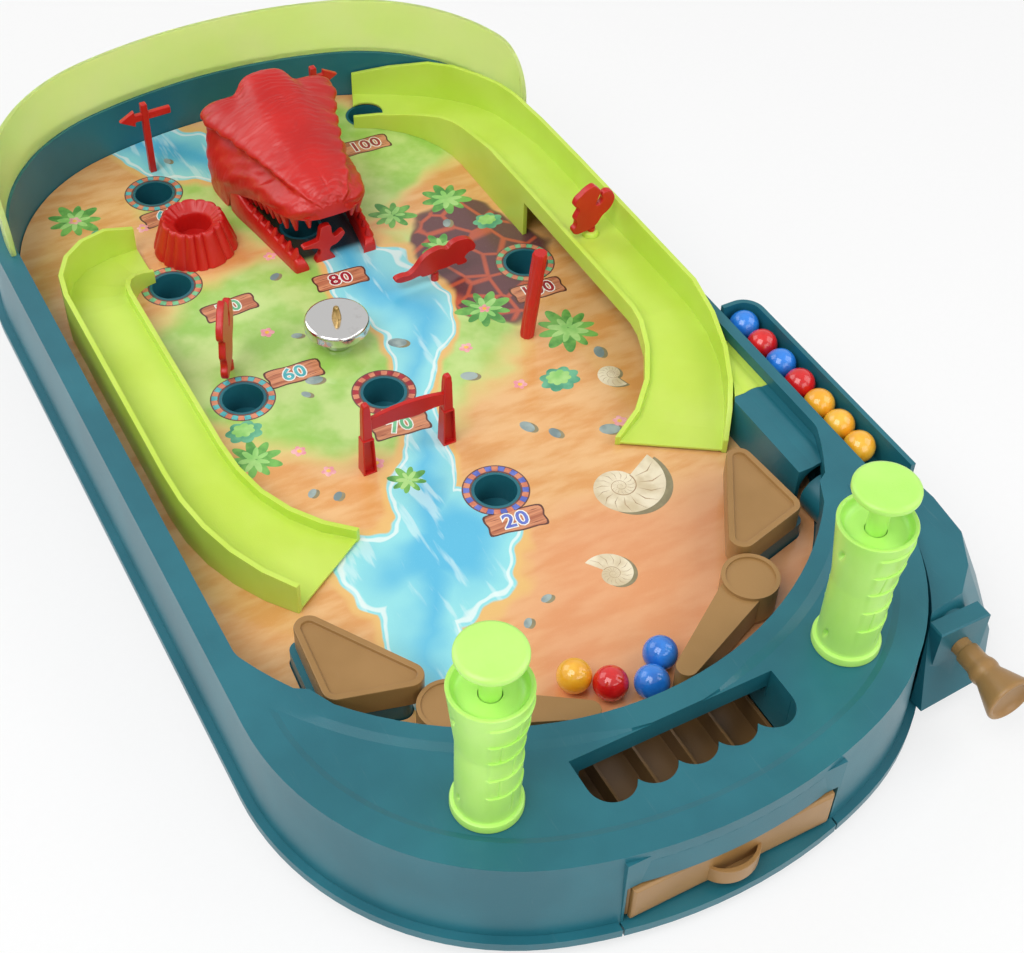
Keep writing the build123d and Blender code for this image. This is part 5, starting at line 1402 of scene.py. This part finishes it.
cheeks = []
for side in (-1, 1):
    for front, back, top in CHEEKS:
        near, far = sorted(side * edge for edge in CHEEK_SIDES)
        outline = [(near, front), (far, front), (far, back), (near, back)]
        cheeks.append(solid("cheek", *prism(outline, CHEEK_BASE, top)))
show("window_cheeks", joined("window_cheeks", cheeks), TEAL, "cabinet")


# Springs, each with the joint that presses it and the stroke, and cover screws
SPRING_WIRE = 0.55
SPRING_RADIUS = 4.6
SPRING_PITCH = 3.4
SCREW_HEAD = {"Head Radius": 3.0, "Head Height": 1.5}
spring = wound_spring()
STROKES = {
    "left_button_spring": ("left_button_press", 10.0), "right_button_spring": ("right_button_press", 10.0),
    "plunger_spring": ("plunger_pull", 15.0),
}
for node, (joint, stroke) in STROKES.items():
    low, high = tray_box(node)
    lengthwise = 1 if node == "plunger_spring" else 2
    length = high[lengthwise] - low[lengthwise]
    coil = spring.made({
        "Turns": length / SPRING_PITCH, "Coil Radius": SPRING_RADIUS, "Wire Radius": SPRING_WIRE,
        "Length": length - 2 * SPRING_WIRE, "Finish": STEEL,
    })
    centre = [(a + b) / 2 for a, b in zip(low, high)]
    foot = Vector(centre)
    foot[lengthwise] = low[lengthwise]
    anchor = STAND @ foot
    foot[lengthwise] += SPRING_WIRE
    place = Matrix.Translation(foot)
    if lengthwise == 1:
        place = place @ Matrix.Rotation(-math.pi / 2, 4, "X")
    coil.transform(STAND @ place)
    piece = stand_for(node, smooth_by_angle(coil, 60))
    (length - stroke) / length
    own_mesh(piece)

SCREW_SHARES = ((-0.80, -0.30), (0.80, -0.30), (-0.80, 0.32), (0.62, 0.32), (0.0, 0.90), (0.18, -0.62))
low, high = tray_box("cover_screws")
heads = cross_screws().made({**SCREW_HEAD, "Finish": STEEL}, spots(
    [(*field_spot(*shares), low[2]) for shares in SCREW_SHARES],
    [(0, 0, 0.4 * index) for index in range(len(SCREW_SHARES))],
))
heads.transform(STAND)
stand_for("cover_screws", eased(heads, 0.25))


# Prints on the board: thin layers of ink, each a little over the one below
INK_LOW = FIELD - 0.05
INK_STEP = 0.03
# Each ink's two tones; a brushed ink has its grain and the grain's turn
INK_TONES = {
    "plank_edge": ((84, 50, 42), (104, 62, 50)),
    "plank": ((178, 104, 74), (222, 152, 112)),
    "plank_grain": ((136, 76, 56), (160, 92, 66)),
    "white": ((238, 236, 226), (250, 248, 240)),
    "violet": ((86, 104, 190), (112, 128, 210)),
    "aqua": ((70, 168, 178), (98, 196, 200)),
    "mint": ((98, 178, 130), (128, 204, 152)),
    "berry": ((146, 30, 44), (176, 44, 56)),
    "ring": ((96, 62, 58), (118, 78, 70)),
    "terracotta": ((206, 118, 92), (226, 146, 112)),
    "bone": ((214, 196, 160), (242, 230, 202)),
    "bone_shade": ((166, 136, 104), (188, 158, 122)),
    "leaf": ((74, 146, 66), (126, 192, 92)),
    "leaf_light": ((142, 206, 110), (178, 224, 138)),
    "bush": ((70, 150, 118), (112, 188, 148)),
    "stone": ((120, 140, 142), (168, 184, 180)),
    "stone_shade": ((138, 128, 96), (152, 142, 108)),
    "blossom": ((236, 150, 160), (248, 190, 190)),
    "pollen": ((244, 190, 60), (250, 210, 96)),
}
BRUSHED = {
    "plank": ((0.05, 0.7, 0.3), 0.1),
    "bone": ((0.12, 0.12, 0.3), 0.0),
    "leaf": ((0.16, 0.16, 0.3), 0.0),
    "leaf_light": ((0.16, 0.16, 0.3), 0.0),
    "bush": ((0.14, 0.14, 0.3), 0.0),
    "stone": ((0.14, 0.14, 0.3), 0.0),
}
EVEN_GRAIN = ((0.3, 0.3, 0.3), 0.0)
INKS = {
    name: print_ink(f"{name}_ink", ink(*deep), ink(*light), *BRUSHED.get(name, EVEN_GRAIN))
    for name, (deep, light) in INK_TONES.items()
}


def printed(name, meshes, colour):
    show(name, smooth_by_angle(joined(name, meshes)), INKS[colour], "cabinet")


def inked(outline, layer):
    return solid("ink", *prism(outline, INK_LOW, FIELD + INK_STEP * layer))


def placed(outline, spot, turn):
    cos, sin = math.cos(turn), math.sin(turn)
    return [(spot[0] + x * cos - y * sin, spot[1] + x * sin + y * cos) for x, y in outline]


def numeral(value, size, swell, layer, spot, turn):
    """Digits as a thin solid on the board."""
    letters = bpy.data.curves.new("numeral", "FONT")
    letters.body = value
    letters.size = size
    letters.align_x = "CENTER"
    letters.align_y = "CENTER"
    letters.offset = swell
    letters.space_character = 1.08
    letters.resolution_u = 3
    letters.extrude = (FIELD + INK_STEP * layer - INK_LOW) / 2
    mesh = baked(put("numeral", letters))
    middle = (FIELD + INK_STEP * layer + INK_LOW) / 2
    mesh.transform(STAND @ Matrix.Translation((*spot, middle)) @ Matrix.Rotation(turn, 4, "Z"))
    return mesh


# Score holes: a dark ring with tiles of two colours
SCORE_RINGS = (
    (5.9, -79.5, "violet"), (-52.0, -0.2, "aqua"), (-6.8, -19.7, "berry"), (72.6, 21.1, "mint"),
    (-38.5, 125.0, "aqua"), (-52.5, 68.1, "mint"),
)
RING_TILES = 14
RING_RADIUS = 9.95
RIM_RADII = (8.3, 11.5)
TILE_SIDES = (2.2, 2.1)
tiles = tile_ring()
rims = []
tile_meshes = {}
for x, y, colour in SCORE_RINGS:
    inner, outer = RIM_RADII
    top = FIELD + INK_STEP
    profile = [(inner, INK_LOW), (outer, INK_LOW), (outer, top), (inner, top)]
    rims.append(solid("rim", *turned(profile, (x, y), 64)))
    for shade, shift in ((colour, 0.0), ("terracotta", math.pi / RING_TILES)):
        ring = tiles.made({
            "Tiles": RING_TILES, "Ring Radius": RING_RADIUS, "Tile Length": TILE_SIDES[0],
            "Tile Width": TILE_SIDES[1], "Tile Height": 4 * INK_STEP, "Finish": INKS[shade],
        })
        ring.transform(STAND @ Matrix.Translation((x, y, FIELD)) @ Matrix.Rotation(shift, 4, "Z"))
        tile_meshes.setdefault(shade, []).append(ring)
printed("score_ring_rims", rims, "ring")
for shade, meshes in tile_meshes.items():
    printed(f"score_ring_tiles_{shade}", meshes, shade)

# Score planks with plain numbers
PLANK = (
    (-9.6, -3.0), (-8.8, -4.2), (-4.0, -4.0), (1.0, -4.4), (6.0, -4.1), (9.0, -4.3), (9.7, -2.8), (9.3, -0.4),
    (9.9, 1.6), (9.2, 3.9), (4.5, 4.3), (-1.0, 4.0), (-5.5, 4.4), (-9.2, 4.0), (-9.8, 1.8), (-9.2, -0.6),
)
PLANK_CRACKS = (
    (-9.0, 1.9, -3.8, 2.2), (3.6, -2.9, 9.2, -2.5), (4.8, 2.6, 9.0, 2.9), (-9.0, -2.5, -5.2, -2.2),
)
NUMBER_SIZE = 8.4
PLANKS = (
    (5.3, -94.4, "20", "violet", -0.16), (-31.0, 3.4, "60", "aqua", -0.05), (-9.0, -37.4, "70", "mint", -0.10),
    (5.5, 43.6, "80", "berry", -0.09), (69.0, 4.6, "100", "berry", -0.06), (-38.0, 47.0, "70", "mint", 0.04),
    (50.5, 117.4, "100", "berry", -0.03), (-38.5, 109.6, "60", "aqua", 0.06),
)
edges, boards, cracks, halos = [], [], [], []
figures = {}
for x, y, value, colour, turn in PLANKS:
    wide = [(px * 1.07, py * 1.14) for px, py in PLANK]
    edges.append(inked(placed(flowing(wide, 3), (x, y), turn), 1))
    boards.append(inked(placed(flowing(PLANK, 3), (x, y), turn), 2))
    for x0, y0, x1, y1 in PLANK_CRACKS:
        mid_x, mid_y = (x0 + x1) / 2, (y0 + y1) / 2
        line = [(x0, y0 - 0.12), (mid_x, mid_y - 0.22), (x1, y1 - 0.05), (mid_x, mid_y + 0.1)]
        cracks.append(inked(placed(line, (x, y), turn), 3))
    halos.append(numeral(value, NUMBER_SIZE, 0.62, 4, (x, y), turn))
    figures.setdefault(colour, []).append(numeral(value, NUMBER_SIZE, 0.18, 5, (x, y), turn))
printed("score_plank_edges", edges, "plank_edge")
printed("score_planks", boards, "plank")
printed("score_plank_cracks", cracks, "plank_grain")
printed("score_number_halos", halos, "white")
for colour, meshes in figures.items():
    printed(f"score_numbers_{colour}", meshes, colour)


# Coiled shells in the sand
def shell_reach(angle, size):
    return size * math.exp(-0.165 * angle)


def shell_point(angle, reach, spot, turn):
    return spot[0] + reach * math.cos(turn - angle), spot[1] + reach * math.sin(turn - angle)


# Shells: place, size and turn
SHELLS = (
    (44.0, -97.0, 18.0, 0.5), (22.0, -129.0, 10.0, 2.2), (-60.0, -70.0, 8.5, 3.6), (70.0, -48.0, 7.5, 5.0),
)
COIL_STEPS = 60
COIL_END = 190
COIL_LINE = 0.075
SHELL_RIBS = 28


def shell_arc(first, last, shell, share=1.0):
    """Points along a shell's coil from one step to another."""
    x, y, size, turn = shell
    angles = [step * 2 * math.pi / COIL_STEPS for step in range(first, last + 1)]
    return [shell_point(angle, shell_reach(angle, size) * share, (x, y), turn) for angle in angles]


shades, bodies, lines = [], [], []
for shell in SHELLS:
    x, y, size, turn = shell
    outer = shell_arc(0, COIL_STEPS, shell)
    bodies.append(inked(outer, 2))
    shades.append(inked([(px + 0.09 * size, py - 0.11 * size) for px, py in outer], 1))
    far_side = shell_arc(COIL_STEPS, COIL_END, shell)
    near_side = shell_arc(COIL_STEPS, COIL_END, shell, 1 - COIL_LINE)
    lines.append(inked(far_side + near_side[::-1], 3))
    for rib in range(SHELL_RIBS):
        angle = 0.18 + rib * 0.42
        outside = shell_reach(angle, size) * 0.97
        inside = shell_reach(angle + 2 * math.pi, size) * 1.12
        middle = (outside + inside) / 2
        width = 0.035 + 0.01 * (rib % 2)
        quad = [
            shell_point(angle, outside, (x, y), turn), shell_point(angle + 0.13, middle, (x, y), turn),
            shell_point(angle + 0.08, inside, (x, y), turn),
            shell_point(angle + 0.13 + width, middle, (x, y), turn),
        ]
        lines.append(inked(quad, 3))
printed("shell_shadows", shades, "stone_shade")
printed("coiled_shells", bodies, "bone")
printed("shell_ribs", lines, "bone_shade")

# Plants, blossoms and pebbles
fan = leaf_fan()


def fans(rows, height, colour):
    made = []
    for index, (x, y, leaves, reach, width, turn) in enumerate(rows):
        mesh = fan.made({
            "Leaves": leaves, "Reach": reach, "Leaf Width": width, "Leaf Height": height, "Seed": 7 + index,
            "Finish": INKS[colour],
        })
        mesh.transform(STAND @ Matrix.Translation((x, y, FIELD)) @ Matrix.Rotation(turn, 4, "Z"))
        made.append(mesh)
    return made


ROSETTES = (
    (46.0, 4.0, 9, 11.0, 4.2, 0.1), (68.0, -20.0, 10, 12.0, 4.4, 0.5), (40.0, 70.0, 8, 9.5, 3.8, 0.3),
    (-60.0, -30.0, 9, 9.5, 3.6, 0.7), (64.0, 70.0, 9, 10.0, 4.0, 0.2), (-72.0, 122.0, 9, 11.0, 4.2, 0.4),
    (-18.0, -62.0, 8, 7.0, 2.8, 0.2), (48.0, 44.0, 8, 8.0, 3.2, 0.9),
)
printed("leaf_rosettes", fans(ROSETTES, 0.08, "leaf"), "leaf")
hearts = [
    (x, y, leaves - 2, reach * 0.66, width * 0.72, turn + 0.4)
    for x, y, leaves, reach, width, turn in ROSETTES
]
printed("leaf_rosette_hearts", fans(hearts, 0.13, "leaf_light"), "leaf_light")
BLOSSOMS = (
    (-24.0, -50.0), (-45.0, -33.0), (30.0, -12.0), (-31.0, 28.0), (60.0, -70.0), (-50.0, 106.0), (30.0, 90.0),
    (-72.0, 122.0), (46.0, 4.0), (-13.0, 68.0), (-40.0, -46.0), (38.0, -38.0),
)
petals = [(x, y, 5, 2.7, 2.2, 0.3 * i) for i, (x, y) in enumerate(BLOSSOMS)]
printed("blossoms", fans(petals, 0.17, "blossom"), "blossom")
printed("blossom_hearts", fans([(x, y, 6, 1.1, 0.9, 0.0) for x, y in BLOSSOMS], 0.21, "pollen"), "pollen")

# Bushes: place, size and number of lobes
BUSHES = ((-58.0, -16.0, 6.5, 7), (52.0, -42.0, 7.5, 8), (-66.0, 106.0, 8.0, 8), (72.0, 50.0, 6.0, 7))
BUSH_STEPS = 96
bushes, bush_tops = [], []
for x, y, size, lobes in BUSHES:
    for layer, share, rows in ((1, 1.0, bushes), (2, 0.62, bush_tops)):
        outline = []
        for step in range(BUSH_STEPS):
            angle = 2 * math.pi * step / BUSH_STEPS
            reach = size * share * (0.82 + 0.22 * abs(math.sin(lobes * angle / 2 + share)))
            rise = (1 - share) * 2.4 + 0.8 * reach * math.sin(angle)
            outline.append((x + reach * math.cos(angle), y + rise))
        rows.append(inked(outline, layer))
printed("bushes", bushes, "bush")
printed("bush_tops", bush_tops, "leaf_light")

PEBBLES = (
    (-26.0, -3.0), (-31.5, -8.5), (9.0, 1.5), (-22.0, 21.5), (24.0, -26.0), (-42.0, -58.0), (-49.0, -53.0),
    (62.0, -76.0), (55.0, -72.0), (30.0, -58.0), (37.0, -65.0), (-16.0, 56.0), (57.0, 56.0), (-26.0, 143.0),
    (-12.0, -134.0), (-26.0, -131.0), (-2.0, -128.0), (72.0, -36.0),
)
PEBBLE_LAYERS = (("pebble_shadows", "stone_shade", 0.7, 0.07), ("pebbles", "stone", 0.0, 0.12))
stones = scattered_stones()
for name, colour, shift, height in PEBBLE_LAYERS:
    mesh = stones.made(
        {
            "Stone Length": 6.4, "Stone Width": 4.2, "Stone Height": height, "Seed": 3,
            "Finish": INKS[colour],
        },
        spots([(x + shift, y - shift, FIELD) for x, y in PEBBLES]),
    )
    mesh.transform(STAND)
    printed(name, [mesh], colour)

# Studio: floor and air are white to the rays that look at them
SEEN_BY = ("Is Camera Ray", "Is Glossy Ray", "Is Transmission Ray")
FLOOR_HALF = 6.0
FLOOR_GLOW = 0.72
AIR_LIGHT = 0.40
AIR_SEEN = 0.25
CAMERA_PLACE = (-0.18334, -0.24984, 0.41658)
CAMERA_AIM = (0.34867, 0.6370, -0.6875)
CAMERA_LENS = 59.0


def studio_floor():
    finish = Finish("studio_paper")
    watched, shine, through = [finish.node("ShaderNodeLightPath", out=ray) for ray in SEEN_BY]
    paper = finish.cloud(finish.spot(), 0.4, 2.0)
    finish.dress({
        "Base Color": finish.mix(paper, ink(238, 238, 238), ink(244, 244, 244)),
        "Roughness": 0.9,
    })
    white = finish.tree.nodes.new("ShaderNodeEmission")
    blend = finish.tree.nodes.new("ShaderNodeMixShader")
    plug(finish.tree, blend.inputs[0], (watched + shine + through).least(1) * FLOOR_GLOW)
    finish.tree.links.new(finish.surface.outputs[0], blend.inputs[1])
    finish.tree.links.new(white.outputs[0], blend.inputs[2])
    output = next(n for n in finish.tree.nodes if n.type == "OUTPUT_MATERIAL")
    finish.tree.links.new(blend.outputs[0], output.inputs["Surface"])
    corners = [(x * FLOOR_HALF, y * FLOOR_HALF, 0) for x, y in ((-1, -1), (1, -1), (1, 1), (-1, 1))]
    mesh = bpy.data.meshes.new("studio_floor")
    mesh.from_pydata(corners, [], [(0, 1, 2, 3)])
    mesh.materials.append(finish.material)
    floor = put("studio_floor", mesh)


def studio_world():
    world = bpy.data.worlds.new("studio_air")
    bpy.context.scene.world = world
    world.use_nodes = True
    tree = world.node_tree
    tree.nodes.clear()
    path = tree.nodes.new("ShaderNodeLightPath")
    watched, shine, through = [Wire(tree, path.outputs[ray]) for ray in SEEN_BY]
    seen = (watched + shine + through).least(1)
    air = tree.nodes.new("ShaderNodeBackground")
    plug(tree, air.inputs["Strength"], AIR_LIGHT + seen * (1 - AIR_LIGHT) + watched * AIR_SEEN)
    output = tree.nodes.new("ShaderNodeOutputWorld")
    tree.links.new(air.outputs[0], output.inputs["Surface"])


def studio_lamp(name, place, aim, size, power):
    lamp = bpy.data.lights.new(name, "AREA")
    lamp.size = size
    lamp.energy = power
    holder = put(name, lamp)
    holder.location = place
    holder.rotation_euler = (Vector(aim) - Vector(place)).to_track_quat("-Z", "Y").to_euler()


def photo_camera():
    lens = bpy.data.cameras.new("photo_camera")
    lens.sensor_fit = "HORIZONTAL"
    lens.sensor_width = 36.0
    lens.lens = CAMERA_LENS
    lens.clip_start = 0.01
    holder = put("photo_camera", lens)
    holder.location = CAMERA_PLACE
    holder.rotation_euler = Vector(CAMERA_AIM).to_track_quat("-Z", "Y").to_euler()
    bpy.context.scene.camera = holder


bpy.context.scene.view_settings.view_transform = "Standard"
studio_floor()
studio_world()
studio_lamp("key_lamp", (-0.7, -0.2, 1.2), (0, 0.18, 0), 0.9, 11.0)
studio_lamp("side_lamp", (0.9, -0.4, 0.9), (0, 0.18, 0), 0.9, 5.0)
studio_lamp("back_lamp", (-0.6, 1.0, 0.9), (0, 0.18, 0), 0.8, 4.0)
studio_lamp("front_lamp", (0.15, -1.1, 0.5), (0, 0.1, 0), 0.8, 4.0)
photo_camera()
